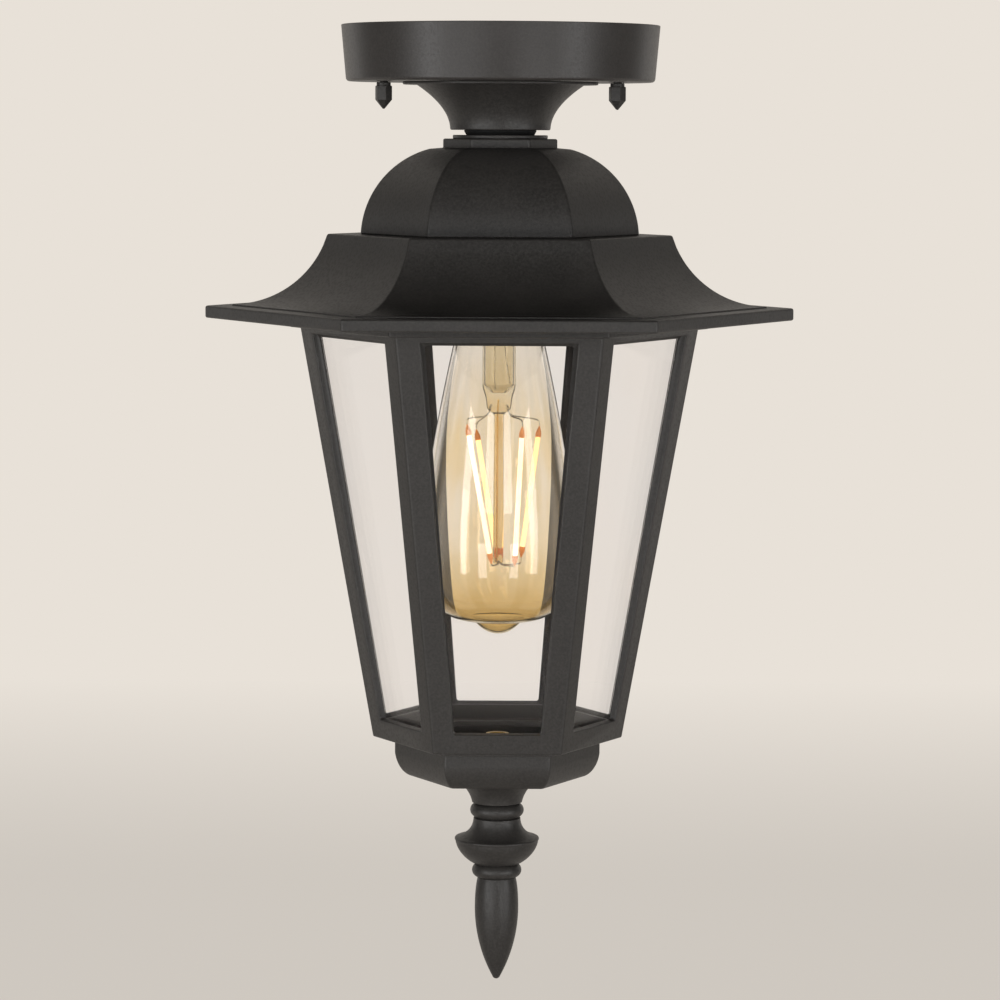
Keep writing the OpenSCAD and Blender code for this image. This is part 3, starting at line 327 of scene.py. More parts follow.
    def show(
        self, body: str, finish: "Finish", *replaces: str, round_edges: bool = False, sharp: float = 40,
    ) -> None:
        """Makes the solid a shown piece of the part.

        Args:
            body: The CAD body that it rides on.
            finish: What it is made of.
            replaces: The CAD nodes that it stands for.
            round_edges: Whether its marked edges are rounded by a modifier.
            sharp: Angle over which an edge stays sharp to the eye, where none are rounded.
        """
        bmesh.ops.recalc_face_normals(self.mesh, faces=self.mesh.faces)
        bmesh.ops.scale(self.mesh, vec=(MM, MM, MM), verts=self.mesh.verts)
        obj = link_mesh(self.name, self.mesh)
        if round_edges:
            bevel = obj.modifiers.new("rounding", "BEVEL")
            bevel.limit_method = "WEIGHT"
            bevel.width = WIDEST_ROUNDING * MM
            bevel.segments = 3
            bevel.use_clamp_overlap = False
        else:
            obj.data.set_sharp_from_angle(angle=math.radians(sharp))
        obj.modifiers.new("normals", "WEIGHTED_NORMAL").keep_sharp = True
        dress(obj, finish)
        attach(obj, body)
        if replaces:
            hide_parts(*replaces)
        LOG.info("%s on %s, %d faces", self.name, body, len(obj.data.polygons))


# ---------------------------------------------------------------- shader groups


class Tree:
    """Short hand for the nodes of one material, world or group."""

    def __init__(self, owner: bpy.types.ID) -> None:
        """Empties the owner's nodes and works on them; a group is its own owner."""
        if not isinstance(owner, bpy.types.NodeTree):
            owner.use_nodes = True
            owner = owner.node_tree
        owner.nodes.clear()
        self.tree = owner

    def add(self, kind: str, settings: Optional[dict] = None, **inputs: object) -> bpy.types.Node:
        """Adds a node.

        Args:
            kind: The node's type, without "ShaderNode".
            settings: Values of its own properties.
            inputs: Its inputs, as fill takes them.

        Returns:
            The node.
        """
        node = self.tree.nodes.new(kind if kind.startswith("Node") else "ShaderNode" + kind)
        for name, value in (settings or {}).items():
            setattr(node, name, value)
        return self.fill(node, **inputs)

    def fill(self, node: bpy.types.Node, *numbered: object, **named: object) -> bpy.types.Node:
        """Sets a node's inputs, by their order or by name with _ for a space, and returns the node.

        Each is set to a value, or linked to a socket. A name means the enabled input of that name.
        """
        named = {name.replace("_", " "): value for name, value in named.items()}
        pairs = list(zip(node.inputs, numbered))
        pairs += [(next(s for s in node.inputs if s.name == name and s.enabled), named[name]) for name in named]
        for socket, value in pairs:
            if isinstance(value, bpy.types.NodeSocket):
                self.tree.links.new(value, socket)
            else:
                socket.default_value = value
        return node

    def maths(self, operation: str, a: object, b: object, clamp: bool = False) -> Output:
        """Adds a Math node and returns its output."""
        node = self.add("Math", {"operation": operation, "use_clamp": clamp})
        return self.fill(node, a, b).outputs[0]

    def times(self, a: object, b: object) -> Output:
        """Multiplies two values and returns the output."""
        return self.maths("MULTIPLY", a, b)

    def ramp(self, value: object, low: float, high: float, to_low: float = 0.0, to_high: float = 1.0) -> Output:
        """Maps a value from one range to another, clamped, and returns the output."""
        node = self.add("MapRange", Value=value, From_Min=low, From_Max=high, To_Min=to_low, To_Max=to_high)
        return node.outputs["Result"]

    def mix(self, share: object, a: object, b: object) -> Output:
        """Mixes two colours and returns the output."""
        node = self.add("Mix", {"data_type": "RGBA"})
        self.fill(node, Factor=share, A=a, B=b)
        return next(s for s in node.outputs if s.type == "RGBA")

    def blend(self, share: object, a: bpy.types.Node, b: bpy.types.Node) -> Output:
        """Mixes the first outputs of two shaders and returns the output."""
        return self.fill(self.add("MixShader"), share, a.outputs[0], b.outputs[0]).outputs[0]

    def seen(self) -> Output:
        """Tells whether a ray comes from the camera, straight or through glass."""
        path = self.add("LightPath").outputs
        return self.maths("MAXIMUM", path["Is Camera Ray"], path["Is Transmission Ray"])

    def where(self) -> Output:
        """Returns the place on the object."""
        return self.add("TexCoord").outputs["Object"]

    def axes(self, vector: Output) -> bpy.types.NodeOutputs:
        """Splits a vector and returns its X, Y and Z."""
        return self.add("SeparateXYZ", Vector=vector).outputs

    def stretched(self, share: object) -> Output:
        """Returns the place on the object with its height multiplied."""
        axes = self.axes(self.where())
        return self.add("CombineXYZ", X=axes["X"], Y=axes["Y"], Z=self.times(axes["Z"], share)).outputs[0]

    def noise(
        self, vector: Output, scale: object, detail: float, rough: float = 0.5, bend: float = 0.0,
    ) -> Output:
        """Adds a noise of that scale, detail, roughness and distortion and returns its value."""
        node = self.add("TexNoise", Vector=vector, Scale=scale, Detail=detail, Roughness=rough, Distortion=bend)
        return node.outputs[0]


class Effect:
    """A shader group that several finishes share."""

    made: dict[str, bpy.types.NodeTree] = {}

    def __init__(self, name: str, inputs: dict[str, float]) -> None:
        """Starts a group with those named inputs, which have those values."""
        self.group = self.made[name] = bpy.data.node_groups.new(name, "ShaderNodeTree")
        for label, value in inputs.items():
            self.socket(label, "INPUT").default_value = value
        self.tree = Tree(self.group)
        self.source = self.tree.add("NodeGroupInput").outputs

    def socket(self, label: str, side: str) -> bpy.types.NodeTreeInterfaceSocket:
        """Adds a named input or output."""
        return self.group.interface.new_socket(label, in_out=side, socket_type="NodeSocketFloat")

    def give(self, **outputs: Output) -> None:
        """Ends the group with those named outputs."""
        for label in outputs:
            self.socket(label, "OUTPUT")
        self.tree.add("NodeGroupOutput", **outputs)

    @classmethod
    def place(cls, tree: Tree, name: str, **values: float) -> bpy.types.NodeOutputs:
        """Puts the named group in a material with its own values and returns its outputs."""
        return tree.add("Group", {"node_tree": cls.made[name]}, **values).outputs


def make_grain() -> None:
    """Builds the group for the orange peel and specks of a sprayed or moulded surface."""
    effect = Effect("grain", {"Scale": 900.0, "Patch Scale": 25.0})
    tree, scale = effect.tree, effect.source["Scale"]
    where = tree.where()
    fine = tree.noise(where, scale, 3.0, 0.6)
    cells = tree.add("TexVoronoi", Vector=where, Scale=tree.times(scale, 0.7)).outputs["Distance"]
    pits = tree.ramp(cells, 0.0, 0.6, 1.0, 0.0)
    patches = tree.noise(where, effect.source["Patch Scale"], 4.0, 0.55)
    height = tree.maths("ADD", tree.times(fine, 0.6), tree.times(pits, 0.4))
    effect.give(Height=height, Specks=tree.ramp(fine, 0.35, 0.68), Patches=tree.ramp(patches, 0.3, 0.7))


def make_edge_highlights() -> None:
    """Builds the group for the mask along rounded edges: a painted edge highlight, with the thin coat along
    edges and the wear of handled corners.
    """
    effect = Effect("edges", {"Width": 0.001, "Break Up": 300.0})
    tree = effect.tree
    rounded = tree.add("Bevel", {"samples": 4}, Radius=effect.source["Width"]).outputs[0]
    dot = tree.add("VectorMath", {"operation": "DOT_PRODUCT"})
    tree.fill(dot, rounded, tree.add("NewGeometry").outputs["Normal"])
    away = tree.ramp(tree.maths("SUBTRACT", 1.0, dot.outputs["Value"]), 0.01, 0.16)
    patchy = tree.ramp(tree.noise(tree.where(), effect.source["Break Up"], 3.0, 0.7), 0.3, 0.62, 0.25, 1.0)
    effect.give(Mask=tree.times(away, patchy))


def make_dust() -> None:
    """Builds the group for dust that has settled on faces that look up."""
    effect = Effect("dust", {"Scale": 60.0})
    tree = effect.tree
    up = tree.axes(tree.add("NewGeometry").outputs["Normal"])["Z"]
    cover = tree.ramp(tree.noise(tree.where(), effect.source["Scale"], 6.0, 0.65), 0.35, 0.7)
    effect.give(Mask=tree.times(tree.ramp(up, 0.35, 1.0), cover))


def make_streaks() -> None:
    """Builds the group for drawn, rolled or turned metal: fine lines across the height."""
    effect = Effect("streaks", {"Scale": 60.0, "Stretch": 30.0})
    tree, source = effect.tree, effect.source
    tone = tree.ramp(tree.noise(tree.where(), source["Scale"], 3.0), 0.3, 0.7)
    effect.give(Height=tree.noise(tree.stretched(source["Stretch"]), source["Scale"], 4.0, 0.6), Tone=tone)


def make_smears() -> None:
    """Builds the group for the faint wipe marks and drawn waves of glass."""
    effect = Effect("smears", {"Scale": 30.0, "Wave Scale": 18.0, "Stretch": 1.0})
    tree, source = effect.tree, effect.source
    where = tree.stretched(source["Stretch"])
    waves = tree.noise(where, source["Wave Scale"], 1.0)
    mask = tree.ramp(tree.noise(where, source["Scale"], 5.0, 0.7, 1.5), 0.5, 0.75)
    effect.give(Mask=mask, Height=waves, Tone=tree.ramp(waves, 0.36, 0.64))


# ---------------------------------------------------------------- finishes


def srgb(red: int, green: int, blue: int) -> Colour:
    """Turns a colour of 0 to 255 into linear light."""
    shares = (value / 255 for value in (red, green, blue))
    return (*(v / 12.92 if v <= 0.04045 else ((v + 0.055) / 1.055) ** 2.4 for v in shares), 1.0)


@dataclass(frozen=True)
class Finish:
    """What a piece is made of.

    Attributes:
        slot: Name that its material is called after.
        base: Its main colour.
        other: The colour that its patches lean to.
    """

    slot: str
    base: Colour
    other: Colour

    def material(self) -> bpy.types.Material:
        """Returns the finish's material, built the first time that it is asked for."""
        name = f"{self.slot}_finish"
        made = bpy.data.materials.get(name)
        if not made:
            made = bpy.data.materials.new(name)
            tree = Tree(made)
            tree.add("OutputMaterial", Surface=self.shade(tree, tree.add("BsdfPrincipled")))
        return made

    def shade(self, tree: Tree, shader: bpy.types.Node) -> Output:
        """Fills the shader in and returns the surface's socket."""
        raise NotImplementedError

    def bump(self, tree: Tree, height: object, distance: float, strength: float) -> Output:
        """Turns a height, in millimetres at full strength, into a normal."""
        return tree.add("Bump", Strength=strength, Distance=distance * MM, Height=height).outputs[0]


@dataclass(frozen=True)
class Coated(Finish):
    """Sprayed, painted, moulded or glazed surface.

    Attributes:
        edge: Colour of its worn or thinly covered edges, and of a painted edge highlight along them.
        edge_highlight_share: How much of that colour shows.
        edge_width: Width of those edges.
        rough: Lowest and highest roughness.
        grain: Grains in a metre.
        relief: Height of the grain.
        specks: How much the grain shows as lighter specks.
        dust: How much dust shows on top.
        coat: Weight of a clear glaze.
    """

    edge: Colour
    edge_highlight_share: float = 0.3
    edge_width: float = 0.8
    rough: Point = (0.45, 0.6)
    grain: float = 900.0
    relief: float = 0.05
    specks: float = 0.2
    dust: float = 0.0
    coat: float = 0.0

    def shade(self, tree: Tree, shader: bpy.types.Node) -> Output:
        """Mixes patches, specks, a painted edge highlight with the edges' thin coat and wear, and dust into the
        colour, and the grain into the rest.
        """
        grain = Effect.place(tree, "grain", Scale=self.grain, Patch_Scale=28.0)
        edges = Effect.place(tree, "edges", Width=self.edge_width * MM, Break_Up=350.0)
        colour = tree.mix(grain["Patches"], self.base, self.other)
        colour = tree.mix(tree.times(grain["Specks"], self.specks), colour, self.edge)
        # Lighter along rounded edges: painted edge highlight, with the thin coat and wear there.
        colour = tree.mix(tree.times(edges["Mask"], self.edge_highlight_share), colour, self.edge)
        rough = tree.ramp(grain["Height"], 0.25, 0.75, *self.rough)
        if self.dust:
            share = tree.times(Effect.place(tree, "dust", Scale=55.0)["Mask"], self.dust)
            colour = tree.mix(share, colour, srgb(150, 142, 130))
            rough = tree.maths("ADD", rough, tree.times(share, 0.4), clamp=True)
        tree.fill(
            shader, Base_Color=colour, Roughness=rough, Coat_Weight=self.coat, Coat_Roughness=0.08,
            Normal=self.bump(tree, grain["Height"], self.relief, 0.6),
        )
        return shader.outputs[0]


@dataclass(frozen=True)
class Metal(Finish):
    """Bare or plated metal.

    Attributes:
        rough: Lowest and highest roughness.
    """

    rough: Point = (0.25, 0.4)

    def shade(self, tree: Tree, shader: bpy.types.Node) -> Output:
        """Feeds the drawn lines, the plating's tone and a painted edge highlight to the shader."""
        streaks = Effect.place(tree, "streaks", Scale=90.0, Stretch=25.0)
        edges = Effect.place(tree, "edges", Width=0.4 * MM, Break_Up=500.0)
        colour = tree.mix(streaks["Tone"], self.base, self.other)
        # Lighter along rounded edges: painted edge highlight, with the wear there.
        tree.fill(
            shader, Base_Color=tree.mix(tree.times(edges["Mask"], 0.3), colour, srgb(235, 232, 224)),
            Metallic=1.0, Roughness=tree.ramp(streaks["Height"], 0.3, 0.7, *self.rough),
            Normal=self.bump(tree, streaks["Height"], 0.01, 0.4),
        )
        return shader.outputs[0]


@dataclass(frozen=True)
class Glass(Finish):
    """Clear or tinted glass, which lets lamps through.

    Attributes:
        ior: How strongly it bends light.
        wave: Depth of its drawn waves.
        scales: Wipe marks and waves in a metre.
        stretch: How much those are squeezed along the height.
        smear: Roughness that its wipe marks add.
        clear: Transmission weight.
        glow: Strength of a painted glow, light that the glass itself emits for what it scatters from the
            filaments beside it.
        lit: Heights between which that painted glow shows.
        shadow: Colour of the light that it lets through.
        pale: Colour towards its upper end, if it differs.
        fade: Heights between which it turns to that colour.
        deep: Colour towards its lower end, if it differs.
        sink: Heights between which it turns to that colour.
    """

    ior: float = 1.45
    wave: float = 0.02
    scales: Point = (28.0, 16.0)
    stretch: float = 1.0
    smear: float = 0.05
    clear: float = 1.0
    glow: float = 0.0
    lit: Point = (-222.0, -140.0)
    shadow: Colour = (0.9, 0.9, 0.9, 1.0)
    pale: Optional[Colour] = None
    fade: Point = (-200.0, -125.0)
    deep: Optional[Colour] = None
    sink: Point = (-205.0, -226.0)

    def shade(self, tree: Tree, shader: bpy.types.Node) -> Output:
        """Feeds tint, wipe marks, waves and any painted glow to the shader, and lets lamps pass."""
        marks, waves = self.scales
        smears = Effect.place(tree, "smears", Scale=marks, Wave_Scale=waves, Stretch=self.stretch)
        colour = tree.mix(smears["Tone"], self.base, self.other)
        height = tree.axes(tree.where())["Z"]
        for shade, (start, end) in ((self.pale, self.fade), (self.deep, self.sink)):
            if shade:
                colour = tree.mix(tree.ramp(height, start * MM, end * MM), colour, shade)
        # Painted glow: the glass emits light between those heights, standing for filament light that it
        # scatters.
        if self.glow:
            low, high = (z * MM for z in self.lit)
            rise = tree.ramp(height, low, low + 25 * MM, 0.1, 1.0)
            fall = tree.ramp(height, high, high - 20 * MM, 0.1, 1.0)
            strength = tree.times(tree.times(rise, fall), self.glow)
            tree.fill(shader, Emission_Color=self.pale or self.base, Emission_Strength=strength)
        tree.fill(
            shader, Base_Color=colour, Roughness=tree.ramp(smears["Mask"], 0.0, 1.0, 0.0, self.smear),
            IOR=self.ior, Transmission_Weight=self.clear,
            Normal=self.bump(tree, smears["Height"], self.wave, 0.5),
        )
        through = tree.add("BsdfTransparent", Color=self.shadow)
        return tree.blend(tree.add("LightPath").outputs["Is Shadow Ray"], shader, through)


@dataclass(frozen=True)
class Glow(Finish):
    """A filament that shines, or its metal end, whose shine is a painted glow.

    Attributes:
        strength: How brightly it shines.
    """

    strength: float = 1.0

    def shade(self, tree: Tree, shader: bpy.types.Node) -> Output:
        """Feeds the phosphor's grain, and its yellower rear, to its colour and light."""
        grain = Effect.place(tree, "grain", Scale=1800.0, Patch_Scale=160.0)
        rear = tree.ramp(tree.axes(tree.where())["Y"], -3 * MM, 4 * MM, 0.0, 0.8)
        share = tree.maths("ADD", rear, tree.times(grain["Patches"], 0.2), clamp=True)
        colour = tree.mix(share, self.base, self.other)
        tree.fill(
            shader, Base_Color=colour, Roughness=tree.ramp(grain["Height"], 0.2, 0.8, 0.5, 0.7),
            Emission_Color=colour, Emission_Strength=self.strength,
            Normal=self.bump(tree, grain["Height"], 0.05, 0.4),
        )
        return shader.outputs[0]


# The coated finishes' edge colours are lighter than their base: a painted edge highlight along rounded edges,
# with the thin coat and wear there.
CAST = Coated(
    "cast_dark", srgb(46, 44, 42), srgb(54, 52, 50), edge=srgb(104, 100, 96), edge_highlight_share=0.35,
    rough=(0.42, 0.58), grain=1100.0, relief=0.06, specks=0.16, dust=0.05,
)
PAN = Coated(
    "pan_dark", srgb(58, 55, 53), srgb(64, 61, 59), edge=srgb(112, 108, 104),
    rough=(0.38, 0.5), grain=1300.0, relief=0.03, specks=0.12,
)
RUBBER = Coated(
    "seal_rubber", srgb(24, 24, 24), srgb(32, 31, 30), edge=srgb(60, 60, 60), edge_highlight_share=0.15,
    rough=(0.6, 0.8), grain=700.0, relief=0.04, specks=0.1,
)
PHENOLIC = Coated(
    "phenolic", srgb(26, 24, 22), srgb(34, 30, 28), edge=srgb(70, 64, 60), edge_highlight_share=0.2,
    rough=(0.3, 0.45), grain=500.0, relief=0.02, specks=0.1,
)
PORCELAIN = Coated(
    "porcelain", srgb(228, 225, 216), srgb(218, 214, 203), edge=srgb(238, 236, 230),
    rough=(0.18, 0.3), grain=260.0, relief=0.02, specks=0.1, coat=0.5,
)
BLACK_LEAD = Coated(
    "black_insulation", srgb(22, 22, 22), srgb(30, 30, 30), edge=srgb(60, 60, 60), rough=(0.35, 0.5),
    relief=0.01,
)
WHITE_LEAD = Coated(
    "white_insulation", srgb(214, 212, 206), srgb(202, 199, 192), edge=srgb(230, 228, 222),
    rough=(0.35, 0.5), relief=0.01,
)
ORANGE = Coated(
    "orange_plastic", srgb(214, 108, 36), srgb(196, 92, 28), edge=srgb(236, 150, 90),
    rough=(0.3, 0.45), grain=700.0, relief=0.02,
)
GREEN = Coated("green_steel", srgb(34, 112, 60), srgb(44, 128, 70), edge=srgb(150, 170, 150), rough=(0.25, 0.4))
ZINC = Metal("zinc_steel", srgb(176, 178, 180), srgb(196, 196, 190))
BRASS = Metal("brass", srgb(196, 160, 88), srgb(214, 182, 112))
NICKEL = Metal("nickel_wire", srgb(176, 170, 160), srgb(190, 184, 172), rough=(0.2, 0.35))
CLEAR_GLASS = Glass(
    "clear_glass", srgb(255, 254, 254), srgb(254, 254, 255), ior=1.25, shadow=(0.6, 0.6, 0.6, 1.0),
)
# The amber and stem glass carry a painted glow near the filaments.
AMBER_GLASS = Glass(
    "amber_glass", srgb(255, 250, 240), srgb(252, 240, 214), ior=1.4, wave=0.05, scales=(28.0, 110.0),
    stretch=0.25, smear=0.03, clear=0.99, glow=0.014, shadow=(0.9, 0.8, 0.62, 1.0),
    pale=srgb(255, 252, 246), fade=(-152.0, -124.0), deep=srgb(243, 224, 180), sink=(-198.0, -222.0),
)
STEM_GLASS = Glass(
    "stem_glass", srgb(238, 220, 182), srgb(230, 208, 162), ior=1.16, wave=0.1, scales=(28.0, 200.0),
    stretch=0.2, smear=0.06, glow=0.006, lit=(-205.0, -140.0), pale=srgb(244, 238, 222), fade=(-152.0, -140.0),
)
FILAMENT = Glow("filament", srgb(255, 250, 240), srgb(255, 226, 160), strength=1.05)
# The metal end caps are no lamp: their emission is a painted glow.
CAP_METAL_PAINTED_GLOW = Glow("cap_metal", srgb(222, 150, 96), srgb(204, 122, 44), strength=0.3)


# ---------------------------------------------------------------- what the sub-assemblies share


class Level(float, Enum):
    """Heights of the seams between the sub-assemblies, from the ceiling down."""

    CANOPY = -21.4
    NECK = -39.6
    SEAL = -41.5
    PLATE = -42.9
    COLLAR = -46.4
    ROOF = -79.3
    TIER = -115.0
    CAGE = -273.4
    CUP = -288.4
    FINIAL = -288.7


STUD_AT = 44.45
SCREWS_AT = 54.5
NIPPLE_R = 4.85


def nipple(name: str, body: str, finish: Finish, node: str, ends: Point) -> None:
    """Builds a threaded nipple between two heights."""
    bore, depth = 3.2, 0.45
    solid = Solid(name)
    rows = solid.coil(NIPPLE_R - depth, (depth, 0), ends, 1.0)
    rows += [solid.level(circle(bore, len(rows[0])), z) for z in reversed(ends)]
    solid.skin(rows, closed=True).show(body, finish, node)


def lock_nut(name: str, body: str, node: str, washer_low: float, nut_low: float) -> None:
    """Builds a nut and its washer on a nipple."""
    solid = Solid(name).washer(9.5, NIPPLE_R, washer_low, washer_low + 1)
    solid.hex_nut(8.0, NIPPLE_R, nut_low, nut_low + 3).show(body, ZINC, node, sharp=20)


# ---------------------------------------------------------------- ceiling mount


@dataclass
class CeilingMount:
    """Straps, studs and nuts that hold the canopy to the outlet box."""

    stud_r: float = 1.75
    stud_ends: Point = (-26.9, -2.3)
    stud_pitch: float = 0.8
    thread_depth: float = 0.3
    nut_r: float = 4.0
    nut_ends: Point = (-7.3, -4.3)

    def build(self) -> None:
        """Builds the threaded pieces and dresses the straps."""
        studs, nuts = Solid("canopy_studs_threaded"), Solid("stud_lock_nuts_chamfered")
        for side in (-1, 1):
            place = moved(side * STUD_AT)
            root, waves = self.stud_r - self.thread_depth, (self.thread_depth, 0)
            rows = studs.coil(root, waves, self.stud_ends, self.stud_pitch, place, steps=32)
            studs.skin(rows, closed=False)
            nuts.hex_nut(self.nut_r, self.stud_r, *self.nut_ends, place)
        studs.show("fixture", ZINC, "canopy_studs")
        nuts.show("fixture", ZINC, "stud_lock_nuts", sharp=20)
        dress_nodes(ZINC, 0.3, "box_strap", "canopy_strap")
        dress_nodes(BRASS, 0.15, "swivel_eyelet")
        dress_nodes(GREEN, 0.2, "ground_screw")


@dataclass
class Canopy:
    """Round pan against the ceiling, with the neck under it."""

    top_r: float = 60.6
    base_r: float = 58.7
    edge_r: float = 1.4
    wall: float = 1.0
    flange_r: float = 37.2
    flange_t: float = 1.1
    neck_top_r: float = 32.0
    neck_foot_r: float = 19.1
    neck_h: float = 17.1
    neck_wall: float = 3.0
    neck_foot_t: float = 4.0
    nipple_ends: Point = (-56.8, -14.2)

    def trumpet(self, last: float, wall: float, steps: int) -> Profile:
        """Profile of the neck, a wall inside it, from its flange down to a share of its height."""
        shares = [i / steps * last for i in range(steps + 1)]
        flange = Level.CANOPY - self.flange_t
        spread = self.neck_top_r - self.neck_foot_r
        return [(self.neck_foot_r + spread * (1 - s) ** 2 - wall, flange - self.neck_h * s) for s in shares]

    def build(self) -> None:
        """Builds the pan, its neck and what holds them."""
        low, wall = Level.CANOPY, self.wall
        Solid("canopy_pan").lathe(fillet([
            (NIPPLE_R, low), (self.base_r, low, self.edge_r), (self.top_r, 0, 0.3), (self.top_r - wall, 0, 0.3),
            (self.base_r - wall, low + wall, 0.5), (NIPPLE_R, low + wall),
        ], steps=8), steps=160).show("fixture", PAN, "canopy")
        outer = self.trumpet(1, 0, 24)
        inner = self.trumpet(1 - self.neck_foot_t / self.neck_h, self.neck_wall, 16)
        Solid("neck_cast").lathe(fillet([
            (self.neck_top_r - self.neck_wall, low), (self.flange_r, low, 0.35),
            (self.flange_r, low - self.flange_t, 0.45), (*outer[0], 0.5), *outer[1:-1],
            (self.neck_foot_r, Level.NECK, 0.6), (NIPPLE_R, Level.NECK), (NIPPLE_R, inner[-1][1]), *inner[::-1],
        ]), steps=128).show("fixture", CAST, "neck")
        nipple("upper_nipple_threaded", "fixture", ZINC, "upper_nipple", self.nipple_ends)
        lock_nut("canopy_lock_nut_chamfered", "fixture", "canopy_lock_nut", -20.4, -19.4)
        lock_nut("dome_lock_nut_chamfered", "fixture", "dome_lock_nut", -49.6, -52.6)
        Solid("seal_washer_moulded").lathe(fillet([
            (NIPPLE_R, Level.SEAL), (13.0, Level.SEAL, 0.3), (14.0, Level.NECK, 0.3), (NIPPLE_R, Level.NECK),
        ])).show("fixture", RUBBER, "seal_washer")
        plate = Solid("collar_plate_cast").washer(18.1, NIPPLE_R, Level.PLATE, Level.SEAL, 0.35)
        plate.show("fixture", CAST, "collar_plate")


@dataclass
class CapNut:
    """Pointed cap nut on a canopy stud."""

    side: int
    collar_r: float = 2.7
    collar_h: float = 1.3
    hex_r: float = 3.35
    hex_h: float = 5.4
    point_h: float = 3.4
    turn: float = -14.0
    bore_r: float = 1.83
    bore_h: float = 5.8

    def build(self) -> None:
        """Builds the nut as a collar and a hexagon with a point."""
        word = "left" if self.side < 0 else "right"
        place = moved(self.side * STUD_AT, 0, Level.CANOPY - 0.3) @ turned(self.turn)
        seam = -self.collar_h
        low = seam - self.hex_h
        tip = low - self.point_h
        solid = Solid(f"canopy_nut_{word}_pointed")
        rows = []
        for r, z, rounding in (
            (0, -self.bore_h, 0), (self.bore_r, -self.bore_h, 0), (self.bore_r, 0, 0),
            (self.collar_r * 0.93, 0, 0), (self.collar_r, -0.2, 0), (self.collar_r, seam + 0.1, 0),
            (self.collar_r, seam, 0), (self.hex_r - 0.25, seam, 0.3), (self.hex_r, seam - 0.25, 0.35),
            (self.hex_r, low + 0.15, 0.35), (self.hex_r - 0.1, low, 0.35),
            (0.75, tip + 0.45, 0.3), (0.45, tip + 0.1, 0.3), (0, tip, 0),
        ):
            round_ring = arc(0, 0, r, -24, 336, SIDES * 5)[:-1] if r else [(0, 0)]
            rows.append(solid.level(hexagon(r, rounding) if rounding else round_ring, z, place))
        solid.skin(rows, closed=False).show(f"cap_nut_{word}", CAST, f"canopy_nut_{word}", sharp=30)


# ---------------------------------------------------------------- roof


@dataclass
class Dome:
    """Six-sided dome with its low collar."""

    collar_r: float = 22.0
    foot_r: float = 53.4
    drop: float = 1.7
    crown: float = 0.8
    wall: float = 2.2
    ridge: float = 1.6
    boss_h: float = 9.8
    boss_at: float = 40.36

    def rings(self, inset: float, top: float) -> Profile:
        """Profile of the arc, a distance inside it, from a height down to the foot."""
        arc_r = Level.COLLAR - Level.ROOF + self.drop + self.crown
        x = self.foot_r - math.sqrt(arc_r ** 2 - self.drop ** 2)
        z, r = Level.ROOF - self.drop, arc_r - inset
        first, last = (math.degrees(math.asin(rise / r)) for rise in (top - z, self.drop))
        return arc(x, z, r, first, last, 28)

    def build(self) -> None:
        """Builds the casting with its three screw bosses."""
        foot, bore, ceiling = Level.ROOF, NIPPLE_R + 0.8, Level.COLLAR - self.wall
        outer = self.rings(0, Level.COLLAR)
        inner = self.rings(self.wall, ceiling)[::-1]
        solid = Solid("dome_cast").stack(fillet([
            (bore, Level.PLATE), (self.collar_r, Level.PLATE, 0.7), (self.collar_r, Level.COLLAR + 0.05, 0.25),
            *outer[1:-1], (self.foot_r, foot, 0.5), (inner[0][0], foot, 0.3), *inner[1:], (bore, ceiling),
        ]), self.ridge)
        high = foot + self.boss_h
        boss = fillet([(1.5, foot), (3.8, foot, 0.4), (3.8, high), (1.5, high)])
        for place in thirds(30, self.boss_at):
            solid.lathe(boss, steps=32, place=place)
        solid.show("fixture", CAST, "dome", sharp=60)


@dataclass
class Roof:
    """Flared six-sided skirt with its flat rim."""

    top_r: float = 66.0
    foot_r: float = 102.4
    height: float = 27.0
    step: float = 0.6
    rim_r: float = 112.7
    rim_h: float = 4.7
    lip_w: float = 3.4
    wall: float = 2.2
    hole_r: float = 42.0
    ridge: float = 1.2

    def flare(self, inset: float, top: float) -> Profile:
        """Profile of the flare, a distance inside it, from a height down to its foot."""
        arc_r = ((self.foot_r - self.top_r) ** 2 + self.height ** 2) / (2 * self.height)
        z, r = Level.ROOF - self.height + arc_r, arc_r + inset
        return arc(self.foot_r, z, r, 180 + math.degrees(math.asin((z - top) / r)), 270, 32)

    def build(self) -> None:
        """Builds the casting with the bosses of the cage's screws."""
        ledge, under = Level.ROOF, Level.ROOF - self.wall
        foot = ledge - self.height
        rim = foot - self.step
        base = rim - self.rim_h
        lip_r = self.rim_r - self.lip_w
        inner = self.flare(self.wall, under)[::-1]
        solid = Solid("roof_skirt_cast").stack(fillet([
            (self.hole_r, ledge, 0.3), (self.top_r, ledge, 1.1), *self.flare(0, ledge)[3:-1],
            (self.foot_r, foot, 0.25), (self.foot_r + 0.05, rim, 0.2), (self.rim_r, rim, 0.9),
            (self.rim_r, base, 0.8), (lip_r, base, 0.5), (lip_r, foot - self.wall, 0.6), *inner[1:-1],
            (inner[-1][0], under), (self.hole_r, under),
        ]), self.ridge)
        top = under + 0.3
        boss = [(1.98, -111.0), (3.8, -111.0, 0.4), (3.8, -86.0), (2.5, -85.0), (2.5, top), (1.98, top)]
        for place in thirds(-30, SCREWS_AT):
            solid.lathe(fillet(boss), steps=32, place=place)
        solid.show("fixture", CAST, "roof_skirt", sharp=60)
        dress_nodes(ZINC, 0.2, "roof_screws")


# ---------------------------------------------------------------- cage


